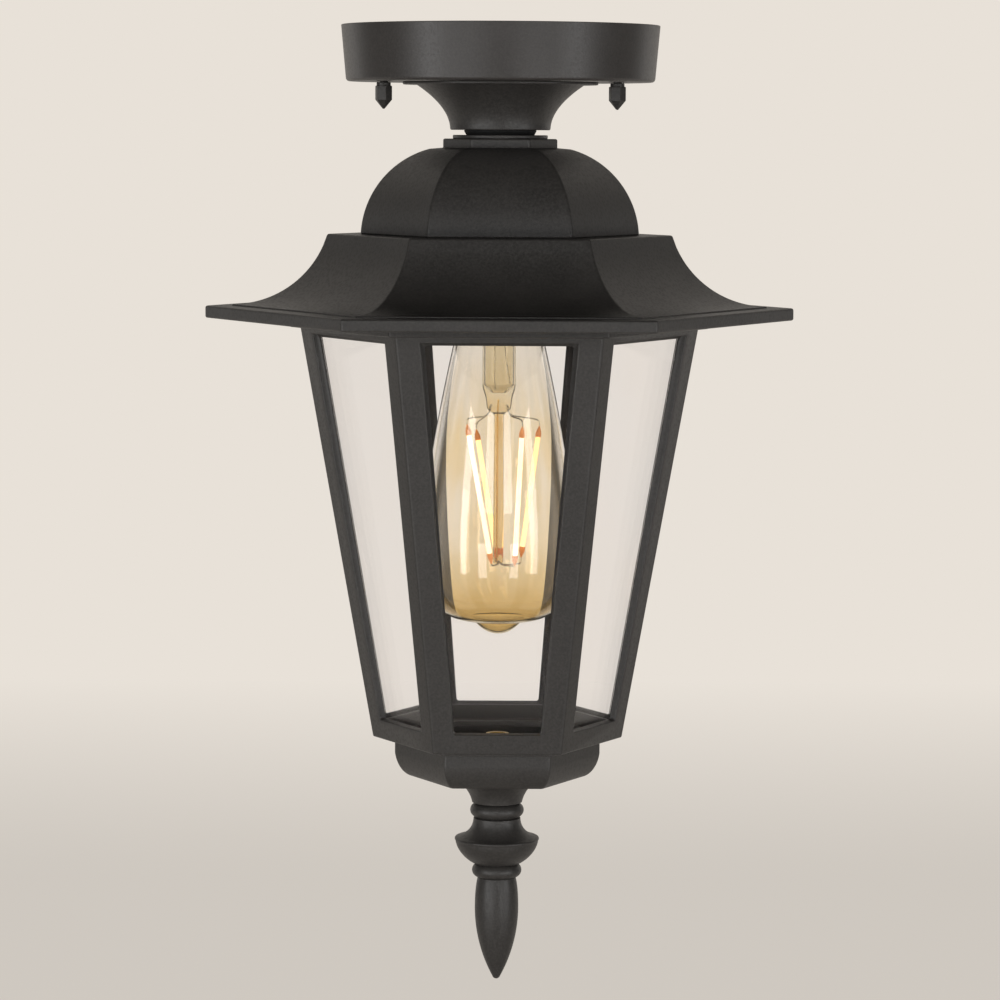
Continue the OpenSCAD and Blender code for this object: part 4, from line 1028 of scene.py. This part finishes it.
@dataclass
class Cage:
    """Tapering frame of six windows between the top flange and the floor."""

    top_r: float = 76.1
    base_r: float = 48.0
    tier_r: float = 80.3
    tier_top: float = -111.3
    reveal: float = 1.8
    draft: float = 0.3
    lip_t: float = 0.8
    stiles: Point = (8.1, 8.9)
    lips: Point = (0.4, 1.6)
    lip_top_w: float = 1.4
    head: float = 2.1
    rail_h: float = 7.7
    floor_t: float = 2.0
    hole_r: float = 31.0
    glass_t: float = 2.5
    glass_lap: float = 3.2
    ear_r: float = 5.2
    ear_t: float = 3.0
    clip_stand: float = 9.55
    rib_t: float = 1.6
    rib_drop: float = 0.4
    gap: float = 0.3

    def __post_init__(self) -> None:
        """Works out the slopes of the faces and corners."""
        height = Level.TIER - Level.CAGE
        self.slope = (self.top_r - self.base_r) / height
        self.tilt = math.atan(self.slope * COS_HALF)
        lean = math.cos(self.tilt)
        self.sill = self.rail_h / lean - height / lean
        self.depth = self.reveal + self.lip_t
        self.wall_r = self.depth / lean / COS_HALF
        self.clear = (self.stiles[0] + self.lips[0], self.stiles[1] + self.lips[1])

    def radius(self, z: float) -> float:
        """Corner radius of the outer faces at a height."""
        return self.base_r + (z - Level.CAGE) * self.slope

    def on_face(self, k: int) -> Matrix:
        """Frame of face k: X out of it, Y along it, Z up its slope."""
        lean = Matrix.Rotation(self.tilt, 4, "Y")
        return turned(SECTOR * k - 90) @ moved(self.top_r * COS_HALF, 0, Level.TIER) @ lean

    def corners(self, insets: Point, low: float, high: float) -> Profile:
        """Corners of an opening in a face.

        Args:
            insets: Distance from the face's sides, at its lower and at its upper end.
            low, high: Its lower and upper ends, along the slope from the top flange.

        Returns:
            Its four corners, the lower ones first.
        """
        half_low, half_high = (
            (self.top_r * COS_HALF + w * math.sin(self.tilt)) * TAN_HALF - inset
            for w, inset in zip((low, high), insets)
        )
        return [(-half_low, low), (half_low, low), (half_high, high), (-half_high, high)]

    def plane_ring(self, solid: Solid, corners: Row, hole: list[Row]) -> None:
        """Fills a flat face between its four corners and its opening."""
        for i, (corner, points) in enumerate(zip(corners, hole)):
            for a, b in zip(points, points[1:]):
                solid.face([corner, a, b])
            j = (i + 1) % 4
            solid.face([corner, points[-1], hole[j][0], corners[j]])

    def window(self, solid: Solid, k: int, outer: Sequence[Row], inner: Sequence[Row]) -> None:
        """Builds one windowed wall.

        Args:
            solid: The frame's mesh.
            k: Number of the face.
            outer, inner: Lower and upper rows of its outer and inner corners.
        """
        top, steps = -self.head, 4
        drafted = (self.stiles[0] + self.draft, self.stiles[1] + self.draft)
        clear = self.corners(self.clear, self.sill + 0.12, top - self.lip_top_w)
        loops = []
        for corners, radii, depth in (
            (self.corners(self.stiles, self.sill, top), (1.2, 0.6), 0),
            (self.corners(drafted, self.sill + 0.1, top - 0.2), (1.1, 0.6), self.reveal),
            (clear, (1.0, 0.8), self.reveal), (clear, (1.0, 0.8), self.depth),
        ):
            points = fillet([(*p, radii[i // 2]) for i, p in enumerate(corners)], steps=steps)
            loops.append(solid.row([(-depth, y, w) for y, w in points], self.on_face(k)))
        size = steps + 1
        holes = [[loop[i * size:(i + 1) * size] for i in range(4)] for loop in (loops[0], loops[-1])]
        right, left = (k - 1) % SIDES, (k - 2) % SIDES
        for (low, high), hole in zip((outer, inner), holes):
            self.plane_ring(solid, [low[left], low[right], high[right], high[left]], hole)
        for a, b in zip(loops, loops[1:]):
            solid.strip(a, b)
        solid.crease(loops[0], 0.5)
        solid.crease(loops[-1], 0.2)

    def fittings(self, solid: Solid) -> None:
        """Adds the ears of the long screws, the bosses of the pane clips and the floor's rib."""
        reach = (self.radius(Level.TIER) - self.wall_r) * COS_HALF - SCREWS_AT + 1.5
        ear = [(reach, -4.0), (reach, 4.0), *arc(0, 0, self.ear_r, 50, 310, 20)]
        for place in thirds(-30, SCREWS_AT):
            rows = [solid.level(ear, z, place) for z in (self.tier_top - self.ear_t, self.tier_top)]
            solid.slab(rows, 0.5)
        length = self.clip_stand - self.wall_r + 1.5
        boss = fillet([(0, 0), (2.1, 0, 0.3), (2.1, length), (0, length)], closed=False)
        lean = Matrix.Rotation(math.atan(self.slope), 4, "Y")
        for k in range(SIDES):
            post = turned(SECTOR * k) @ moved(self.radius(Level.TIER), 0, Level.TIER) @ lean
            solid.lathe(boss, closed=False, steps=24, place=post @ moved(-self.clip_stand) @ turned(90, "Y"))
        lean_in = math.cos(self.tilt) * COS_HALF
        inset, thick = (self.depth + self.glass_t + self.gap) / lean_in, self.rib_t / lean_in
        low = Level.CAGE + self.floor_t - 0.3
        high = Level.CAGE + self.rail_h - self.rib_drop
        solid.stack(fillet([
            (self.radius(z) - away, z, 0.4 if z == high else 0)
            for away, z in ((inset, high), (inset, low), (inset + thick, low), (inset + thick, high))
        ]), 1.0)

    def build(self) -> None:
        """Builds the frame and its six glass panes, and dresses the clips and screws."""
        solid = Solid("cage_frame_cast")
        tier, low = Level.TIER, Level.CAGE
        floor = low + self.floor_t
        foot, neck, under, over, top_in, floor_in, hole_top, hole_low = (
            solid.level(circle(r), z) for r, z in (
                (self.base_r, low), (self.top_r, tier), (self.tier_r, tier), (self.tier_r, self.tier_top),
                (self.radius(self.tier_top) - self.wall_r, self.tier_top),
                (self.radius(floor) - self.wall_r, floor), (self.hole_r, floor), (self.hole_r, low),
            )
        )
        for rows in ((neck, under, over, top_in), (floor_in, hole_top, hole_low, foot)):
            for a, b in zip(rows, rows[1:]):
                solid.strip(a, b)
        for k in range(SIDES):
            self.window(solid, k, (foot, neck), (floor_in, top_in))
            solid.crease([foot[k], neck[k]], 0.8, loop=False)
            solid.crease([under[k], over[k]], 0.8, loop=False)
        for row, width in (
            (foot, 0.6), (under, 0.5), (over, 0.5), (hole_top, 0.4), (hole_low, 0.4), (neck, 0.25),
        ):
            solid.crease(row, width)
        self.fittings(solid)
        solid.show("cage", CAST, "cage_frame", round_edges=True)
        stand = floor + self.gap - tier
        start = (stand - self.depth * math.sin(self.tilt)) / math.cos(self.tilt)
        lapped = (self.clear[0] - self.glass_lap, self.clear[1] - self.glass_lap)
        pane = self.corners(lapped, start, -self.gap)
        for k, name in enumerate(("front", "front_right", "rear_right", "rear", "rear_left", "front_left")):
            solid = Solid(f"pane_{name}_ground")
            depths = (self.depth + self.glass_t, self.depth)
            rows = [solid.row([(-depth, y, w) for y, w in pane], self.on_face(k)) for depth in depths]
            solid.slab(rows, 0.35, sides=True).show("cage", CLEAR_GLASS, f"pane_{name}", round_edges=True)
        dress_nodes(ZINC, 0.2, "pane_clips", "clip_screws")
        dress_nodes(ZINC, 0.3, "cage_screws")


@dataclass
class Cup:
    """Six-sided cup that closes the cage from below."""

    flange_r: float = 41.7
    flange_t: float = 1.5
    top_r: float = 39.8
    foot_r: float = 34.2
    wall: float = 2.0
    boss_at: float = 30.25
    nipple_ends: Point = (-296.4, -271.6)

    def build(self) -> None:
        """Builds the cup, its nipple and lock nut."""
        top, low, bore = Level.CAGE, Level.CUP, NIPPLE_R + 0.7
        step, floor = top - self.flange_t, low + self.wall
        thick = self.wall / COS_HALF
        side = bezier(
            (self.top_r, top - 6), (self.top_r - 0.3, top - 9),
            (self.top_r - 2, low + 1.5), (self.foot_r, low), 14,
        )
        solid = Solid("bottom_cup_cast").stack(fillet([
            (self.top_r - thick, top, 0.3), (self.flange_r, top, 0.35), (self.flange_r, step, 0.35),
            (self.top_r, step, 0.25), *side[:-1], (*side[-1], 0.5), (bore, low), (bore, floor),
            (self.foot_r - thick, floor, 0.8), (self.top_r - thick, top - 6, 1.0),
        ]), 1.2)
        boss = [(0, top - 8), (3.8, top - 8, 0.4), (3.8, top - 0.2, 0.3), (0, top - 0.2)]
        for place in thirds(30, self.boss_at):
            solid.lathe(fillet(boss, closed=False), closed=False, steps=32, place=place)
        solid.show("cage", CAST, "bottom_cup", sharp=60)
        nipple("finial_nipple_threaded", "cage", BRASS, "finial_nipple", self.nipple_ends)
        lock_nut("finial_lock_nut_chamfered", "cage", "finial_lock_nut", floor, floor + 1)
        dress_nodes(ZINC, 0.25, "cup_screws")


@dataclass
class Finial:
    """Turned drop that hangs under the cup."""

    top_r: float = 15.5
    waist_r: float = 9.1
    cove_h: float = 10.4
    ring_r: float = 10.4
    ring_h: float = 5.4
    flare_h: float = 8.0
    lip_r: float = 16.35
    lip_h: float = 1.0
    bowl_h: float = 9.2
    lower_ring_r: float = 9.6
    drop_neck_r: float = 7.4
    drop_r: float = 8.46
    drop_h: float = 40.4
    widest: float = 0.31
    tip_r: float = 1.6
    hole_h: float = 8.0
    bore_r: float = 4.93

    def bead(self, radius: float, top: float) -> Profile:
        """Profile of a bulging ring, from its top down."""
        half = self.ring_h / 2
        return arc(radius - half, top - half, half, 90, -90, 14)

    def build(self) -> None:
        """Builds the casting."""
        head, waist, lip_r, drop_r = self.top_r, self.waist_r, self.lip_r, self.drop_r
        ring = -self.cove_h
        flare = ring - self.ring_h
        lip = flare - self.flare_h
        bowl = lip - self.lip_h
        lower = bowl - self.bowl_h
        drop = lower - self.ring_h
        wide = drop - self.drop_h * self.widest
        tip = drop - self.drop_h
        profile = [
            (0, -self.hole_h), (self.bore_r, -self.hole_h), (self.bore_r, 0), (head - 0.4, 0),
            (head - 0.1, -0.12), (head, -0.4),
            *bezier((head, -0.7), (head - 2.9, -3.8), (waist + 1.3, ring + 4), (waist + 0.6, ring + 0.5)),
            *self.bead(self.ring_r, ring),
            *bezier(
                (waist, flare - 0.4), (waist + 0.1, flare - 4.5),
                (lip_r - 4.4, lip + 0.8), (lip_r - 0.25, lip), 18,
            ),
            (lip_r - 0.05, lip - 0.25), (lip_r, lip - 0.5), (lip_r - 0.05, bowl + 0.2),
            *bezier(
                (lip_r - 0.25, bowl), (lip_r - 0.6, bowl - 3.4),
                (lip_r - 3.3, lower + 2.3), (waist, lower + 0.1), 18,
            ),
            *self.bead(self.lower_ring_r, lower),
            *bezier(
                (self.drop_neck_r, drop - 0.2), (drop_r - 0.2, drop - 3.8),
                (drop_r, wide + 4.5), (drop_r, wide),
            ),
            *bezier(
                (drop_r, wide - 0.4), (drop_r - 0.2, wide - 9), (drop_r - 2.2, tip + 10),
                (self.tip_r, tip + self.tip_r * 0.8), 22,
            ),
            *arc(0, tip + self.tip_r, self.tip_r, 0, -90, 6)[1:-1], (0, tip),
        ]
        placed = [(r, z + Level.FINIAL) for r, z in profile]
        Solid("finial_turned").lathe(placed, closed=False, steps=128).show("finial", CAST, "finial", sharp=50)


# ---------------------------------------------------------------- socket and bulb


@dataclass
class Socket:
    """Porcelain socket with its brass shell, under its cap."""

    outer_r: float = 18.0
    top: float = -60.8
    low: float = -101.8
    top_t: float = 4.0
    cap_r: float = 16.0
    cap_top: float = -54.8
    cap_wall: float = 2.0
    shell_r: float = 13.48
    shell_t: float = 0.5
    shell_low: float = -98.3

    def build(self) -> None:
        """Builds the turned pieces and dresses the small ones."""
        top, low, shell_low, shell_r = self.top, self.low, self.shell_low, self.shell_r
        bore, ceiling = shell_r + self.shell_t, top - self.top_t
        Solid("socket_body_glazed").lathe(fillet([
            (0.6, top), (self.outer_r, top, 1.2), (self.outer_r, low, 1.4), (bore + 1.5, low, 0.8),
            (bore + 1.5, shell_low), (bore, shell_low), (bore, ceiling), (0.6, ceiling),
        ])).show("fixture", PORCELAIN, "socket_body")
        inner, cap_low = self.cap_r - self.cap_wall, self.cap_top - self.cap_wall
        Solid("socket_cap_moulded").lathe(fillet([
            (NIPPLE_R, self.cap_top), (self.cap_r, self.cap_top, 1.2), (self.cap_r, top), (inner, top),
            (inner, cap_low, 0.5), (NIPPLE_R, cap_low),
        ])).show("fixture", PHENOLIC, "socket_cap")
        wave = [
            (shell_r + 0.12 + 0.11 * math.cos(math.pi * i / 4), shell_low + 1.5 + i * 0.45) for i in range(64)
        ]
        Solid("socket_shell_rolled").lathe(
            [(shell_r, shell_low), (bore, shell_low), (bore, ceiling), (shell_r, ceiling), *wave[::-1]],
        ).show("fixture", BRASS, "socket_shell")
        for name, finish, width in (
            ("socket_contact", BRASS, 0.1), ("socket_screws", ZINC, 0.2), ("lead_black", BLACK_LEAD, 0),
            ("lead_white", WHITE_LEAD, 0), ("wire_connectors", ORANGE, 0.5),
        ):
            dress_nodes(finish, width, name)


@dataclass
class Bulb:
    """Long pear-shaped bulb with four glowing filaments."""

    base_r: float = 13.1
    base_low: float = -98.5
    base_top: float = -72.5
    widest_r: float = 29.0
    shoulder_h: float = 101.5
    bottom_h: float = 27.5
    teat_r: float = 10.5
    teat_h: float = 5.2
    wall: float = 0.9
    stem_r: float = 6.4
    stem_low: float = -139.0
    pinch_r: float = 5.5
    pinch_low: float = -147.2
    rod_r: float = 1.95
    wire_r: float = 0.26
    filament_high: float = -151.5
    filament_low: float = -205.5
    half_top: Point = (11.2, 8.0)
    half_foot: Point = (5.5, 4.0)
    top_shift: tuple[float, ...] = (0.6, -0.2, 3.0, 0.4)
    foot_shift: tuple[float, ...] = (3.7, 1.8, 2.5, 4.1)
    top_rise: tuple[float, ...] = (0.0, -0.4, -1.4, -3.2)
    foot_rise: tuple[float, ...] = (0.0, -0.5, 2.0, 1.2)
    turn: float = -13.0
    filament_r: float = 0.98
    cap_h: float = 4.2
    wire_level: float = 2.4

    def envelope(self) -> None:
        """Builds the blown glass with its wall."""
        neck, high, widest, teat_r = self.base_r - 0.1, self.base_low, self.widest_r, self.teat_r
        wide = high - self.shoulder_h
        teat = wide - self.bottom_h
        tip = teat - self.teat_h
        outer = [
            *bezier(
                (neck, high), (neck + 3, high - self.shoulder_h * 0.18),
                (widest, wide + self.shoulder_h * 0.34), (widest, wide), 32,
            ),
            *bezier(
                (widest, wide - 0.5), (widest, wide - self.bottom_h * 0.6),
                (widest - 4.5, teat + 0.3), (teat_r, teat), 24,
            ),
            *bezier((teat_r - 0.3, teat - 0.05), (teat_r - 2.2, teat - 0.3), (teat_r - 4.3, tip), (0, tip), 14),
        ]
        inner = []
        for i, (r, z) in enumerate(outer):
            before, after = outer[max(i - 1, 0)], outer[min(i + 1, len(outer) - 1)]
            run = Vector((after[0] - before[0], after[1] - before[1])).normalized()
            inner.append((max(r + run.y * self.wall, 0.0), z - run.x * self.wall if i else z))
        Solid("bulb_envelope_blown").lathe(outer + inner[::-1]).show("bulb", AMBER_GLASS, "bulb_envelope")

    def screw_base(self) -> None:
        """Builds the threaded base."""
        low, high, radius, steps = self.base_low, self.base_top, self.base_r, 72
        solid = Solid("bulb_base_rolled")
        rows = [solid.level(circle(radius - 0.25, steps), low)]
        ends, waves = (low + 2, high - 2), (-0.55, 0.25)
        rows += solid.coil(radius - 0.25, waves, ends, 3.6, steps=steps, fine=10, fade=1.5)
        for r, z in (
            (radius - 1.2, high - 0.9), (10.0, high), (radius - 3, high - 0.8), (radius - 1.6, high - 2),
            (radius - 1.6, low),
        ):
            rows.append(solid.level(circle(r, steps), z))
        solid.skin(rows, closed=True).show("bulb", ZINC, "bulb_base")

    def stem(self) -> None:
        """Builds the hollow glass stem with its pinch and rod."""
        flare = self.base_r - 0.1 - self.wall - 0.2
        low, base, stem, pinch, hollow = (
            self.filament_low, self.base_low, self.stem_low, self.pinch_low, self.stem_r - 1.1,
        )
        path = fillet([
            (0, low), (self.rod_r, low, 0.9), (self.rod_r, pinch - 0.6, 1.6),
            (self.pinch_r - 0.9, pinch + 1.2, 1.6), (self.pinch_r - 0.3, stem - 2.4, 1.2),
            (self.stem_r, stem + 1.6, 1.4), (self.stem_r, base - 8, 3),
            (flare, base - 1.2, 0.5), (flare, base, 0.3), (flare - 1.0, base, 0.3), (hollow, base - 7.2, 3),
            (hollow, stem + 2.2, 2.0), (2.4, stem - 0.6, 0.8), (0, stem - 0.6),
        ], closed=False, steps=6)
        Solid("bulb_stem_drawn").lathe(path, closed=False, steps=64).show("bulb", STEM_GLASS, "bulb_stem")

    def ends(self, half: Point, shifts: Sequence[float], rises: Sequence[float], z: float) -> list[Vector]:
        """The four filament ends near a height, each shifted to the right and raised."""
        corners = ((-1, -1), (1, -1), (1, 1), (-1, 1))
        return [
            moved(shift) @ turned(self.turn) @ Vector((x * half[0], y * half[1], z)) + Vector((0, 0, rise))
            for shift, rise, (x, y) in zip(shifts, rises, corners)
        ]

    def tube(self, solid: Solid, points: Sequence[Vector], radii: Sequence[float], steps: int = 12) -> None:
        """Adds a round tube along points, with a radius at each and closed ends."""
        rows = []
        for i, point in enumerate(points):
            run = (points[min(i + 1, len(points) - 1)] - points[max(i - 1, 0)]).normalized()
            side = run.cross(Vector((0.3, 1, 0.1))).normalized()
            up = run.cross(side)
            rows.append(solid.row([point + (side * x + up * y) * radii[i] for x, y in circle(1, steps)]))
        solid.skin(rows, closed=False)

    def filament(self, solid: Solid, caps: Solid, top: Vector, foot: Vector) -> None:
        """Adds a straight filament with rounded ends, and its two drop-shaped end pieces."""
        run = (foot - top).normalized()
        a, b = top + run * (self.cap_h - 0.3), foot - run * (self.cap_h - 0.3)
        soft = run * 0.5
        points = [a, a + soft * 0.3, a + soft, b - soft, b - soft * 0.3, b]
        self.tube(solid, points, [self.filament_r * share for share in (0.55, 0.85, 1, 1, 0.85, 0.55)])
        shape = ((0.0, 0.25), (0.12, 0.4), (0.3, 0.68), (0.5, 0.98), (0.68, 1.12), (0.85, 1.16), (1.0, 1.1))
        for tip, way in ((top, run), (foot, -run)):
            points = [tip + way * self.cap_h * t for t, _ in shape]
            self.tube(caps, points, [self.filament_r * share for _, share in shape], steps=16)

    def wire(self, solid: Solid, *corners: Sequence[float]) -> None:
        """Adds a wire along corners, bent softly at each."""
        spots = [Vector(corner) for corner in corners]
        points = [spots[0]]
        for before, here, after in zip(spots, spots[1:], spots[2:]):
            start, end = here.lerp(before, 0.35), here.lerp(after, 0.35)
            points += [start.lerp(here, t / 4).lerp(here.lerp(end, t / 4), t / 4) for t in range(5)]
        points.append(spots[-1])
        self.tube(solid, points, [self.wire_r] * len(points), steps=10)

    def supports(self, solid: Solid, top: Vector, foot: Vector) -> None:
        """Adds the two wires that hold one filament, from the pinch and from the rod's end."""
        side, depth = math.copysign(1, top.x), math.copysign(1.4, top.y)
        level, low = self.filament_high + self.wire_level, self.filament_low - 0.6
        self.wire(
            solid, (side * 2.4, depth, self.pinch_low + 3), (side * 3.4, depth, self.pinch_low + 0.4),
            (side * 4.8, depth * 1.4, level + 0.3), (top.x, top.y, min(level, top.z + 2.6)),
            (top.x, top.y, top.z - 0.8),
        )
        self.wire(
            solid, (0, 0, low + 1.6), (foot.x * 0.2, foot.y * 0.2, low), (foot.x, foot.y, low),
            (foot.x, foot.y, foot.z + 0.8),
        )

    def filaments(self) -> None:
        """Builds the filaments, their ends and the wires that hold them."""
        glow, caps = Solid("bulb_filaments_glowing"), Solid("filament_caps_crimped")
        wires = Solid("bulb_wires_bent")
        tops = self.ends(self.half_top, self.top_shift, self.top_rise, self.filament_high)
        feet = self.ends(self.half_foot, self.foot_shift, self.foot_rise, self.filament_low)
        for top, foot in zip(tops, feet):
            self.filament(glow, caps, top, foot)
            self.supports(wires, top, foot)
        core, leads = Solid("bulb_core_wire"), Solid("bulb_lead_wires")
        self.wire(
            core, (-0.2, 0, self.pinch_low + 5), (-0.5, 0, self.pinch_low - 2),
            (-0.5, 0, self.filament_low + 0.8),
        )
        high, low = self.base_low - 4, self.stem_low
        self.wire(leads, (-1.7, 0.4, high), (-1.7, 0.4, low + 8), (-1.5, 0.4, low))
        self.wire(leads, (1.9, 0.4, high), (2.1, 0.4, low + 16), (4.3, 0.4, low + 2))
        glow.show("bulb", FILAMENT, "bulb_filaments")
        caps.show("bulb", CAP_METAL_PAINTED_GLOW, "filament_caps")
        wires.show("bulb", NICKEL, "bulb_support_wires")
        core.show("bulb", BRASS)
        leads.show("bulb", NICKEL)

    def build(self) -> None:
        """Builds the bulb and dresses its small end pieces."""
        self.envelope()
        self.screw_base()
        self.stem()
        self.filaments()
        dress_nodes(PHENOLIC, 0.3, "bulb_insulator")
        dress_nodes(ZINC, 0.25, "bulb_contact")


# ---------------------------------------------------------------- studio


@dataclass
class Studio:
    """Pale floor and backdrop, soft lamps and the camera; its places are in metres."""

    focal_px: float = 3700.0
    frame_px: float = 1000.0
    sensor_mm: float = 36.0
    camera_at: tuple[float, float, float] = (0.0, -1.4159, -0.0391)
    pitch: float = 5.73
    yaw: float = -0.0232
    roll: float = 0.285
    floor_z: float = -0.78
    half_w: float = 4.0
    front_y: float = -3.0
    sweep_y: float = 2.2
    sweep_r: float = 1.2
    wall_h: float = 4.0
    paper: Colour = srgb(232, 225, 216)

    def backdrop(self) -> None:
        """Builds a floor that curves up into a wall behind the lantern."""
        bend = arc(0, self.sweep_r, self.sweep_r, -90, 0, 24)
        profile = [(self.front_y, 0.0), *[(self.sweep_y + x, y) for x, y in bend]]
        profile.append((self.sweep_y + self.sweep_r, self.wall_h))
        bm = bmesh.new()
        left, right = (
            [bm.verts.new((x, y, z + self.floor_z)) for y, z in profile] for x in (-self.half_w, self.half_w)
        )
        for i in range(len(profile) - 1):
            bm.faces.new([left[i], right[i], right[i + 1], left[i + 1]])
        sweep = link_mesh("studio_sweep", bm)
        made = bpy.data.materials.new("studio_paper")
        tree = Tree(made)
        paper = tree.add("BsdfDiffuse", Color=srgb(214, 205, 195))
        shown = tree.add("Emission", Color=self.paper, Strength=1.0)
        place = tree.axes(tree.add("NewGeometry").outputs["Position"])
        glossy = tree.add("LightPath").outputs["Is Glossy Ray"]
        behind = tree.times(glossy, tree.ramp(place["Y"], -0.2, 0.4, 0.0, 0.8))
        rise = tree.ramp(place["Z"], self.floor_z, self.floor_z + 0.12, 0.75, 1.0)
        share = tree.times(tree.maths("MAXIMUM", tree.seen(), behind), rise)
        tree.add("OutputMaterial", Surface=tree.blend(share, paper, shown))
        sweep.data.materials.append(made)

    def lights(self) -> None:
        """Sets the world's level and the soft lamps, two by two."""
        world = bpy.context.scene.world = bpy.data.worlds.new("studio_world")
        tree = Tree(world)
        back = tree.add("Background", Color=srgb(188, 184, 180), Strength=0.06)
        shown = tree.add("Background", Color=self.paper, Strength=1.0)
        tree.add("OutputWorld", Surface=tree.blend(tree.seen(), back, shown))
        for name, at, aim, size, watts in (
            ("left_lamp", (-1.5, -1.15, -0.2), -0.18, (0.5, 1.1), 9),
            ("right_lamp", (1.6, -1.1, -0.2), -0.18, (0.5, 1.1), 8),
            ("rear_left_lamp", (-1.5, 1.3, -0.1), -0.18, (0.5, 0.7), 0.8),
            ("rear_right_lamp", (1.5, 1.3, -0.1), -0.18, (0.5, 0.7), 0.7),
            ("front_left_lamp", (-0.42, -1.6, 0.14), -0.15, (0.4, 0.4), 2.1),
            ("front_right_lamp", (0.42, -1.6, 0.14), -0.15, (0.4, 0.4), 2.0),
            ("low_left_lamp", (-0.5, -1.0, -0.42), -0.2, (0.35, 0.35), 1.9),
            ("low_right_lamp", (0.5, -1.0, -0.42), -0.2, (0.35, 0.35), 1.8),
        ):
            light = bpy.data.lights.new(name, "AREA")
            light.shape = "RECTANGLE"
            light.size, light.size_y = size
            light.energy = watts
            obj = link(name, light)
            obj.location = at
            obj.rotation_euler = (Vector((0, 0, aim)) - Vector(at)).to_track_quat("-Z", "Y").to_euler()

    def camera(self) -> None:
        """Sets the camera where the photograph was taken from."""
        data = bpy.data.cameras.new("camera")
        data.sensor_width = self.sensor_mm
        data.lens = self.focal_px / self.frame_px * self.sensor_mm
        obj = bpy.context.scene.camera = link("camera", data)
        turn = turned(self.yaw) @ turned(90 - self.pitch, "X") @ turned(self.roll)
        obj.matrix_world = Matrix.Translation(self.camera_at) @ turn

    def build(self) -> None:
        """Sets the whole studio up."""
        bpy.context.scene.view_settings.view_transform = "Standard"
        self.camera()
        self.backdrop()
        self.lights()


def main() -> None:
    """Builds the studio and every sub-assembly in order."""
    logging.basicConfig(level=logging.INFO, format="%(name)s: %(message)s")
    Studio().build()
    for effect in (make_grain, make_edge_highlights, make_dust, make_streaks, make_smears):
        effect()
    for assembly in (
        CeilingMount(), Canopy(), CapNut(-1), CapNut(1), Dome(), Roof(), Socket(), Bulb(), Cage(), Cup(),
        Finial(),
    ):
        assembly.build()
        LOG.info("%s is built", type(assembly).__name__)
    bpy.context.view_layer.update()


if __name__ == "__main__":
    main()
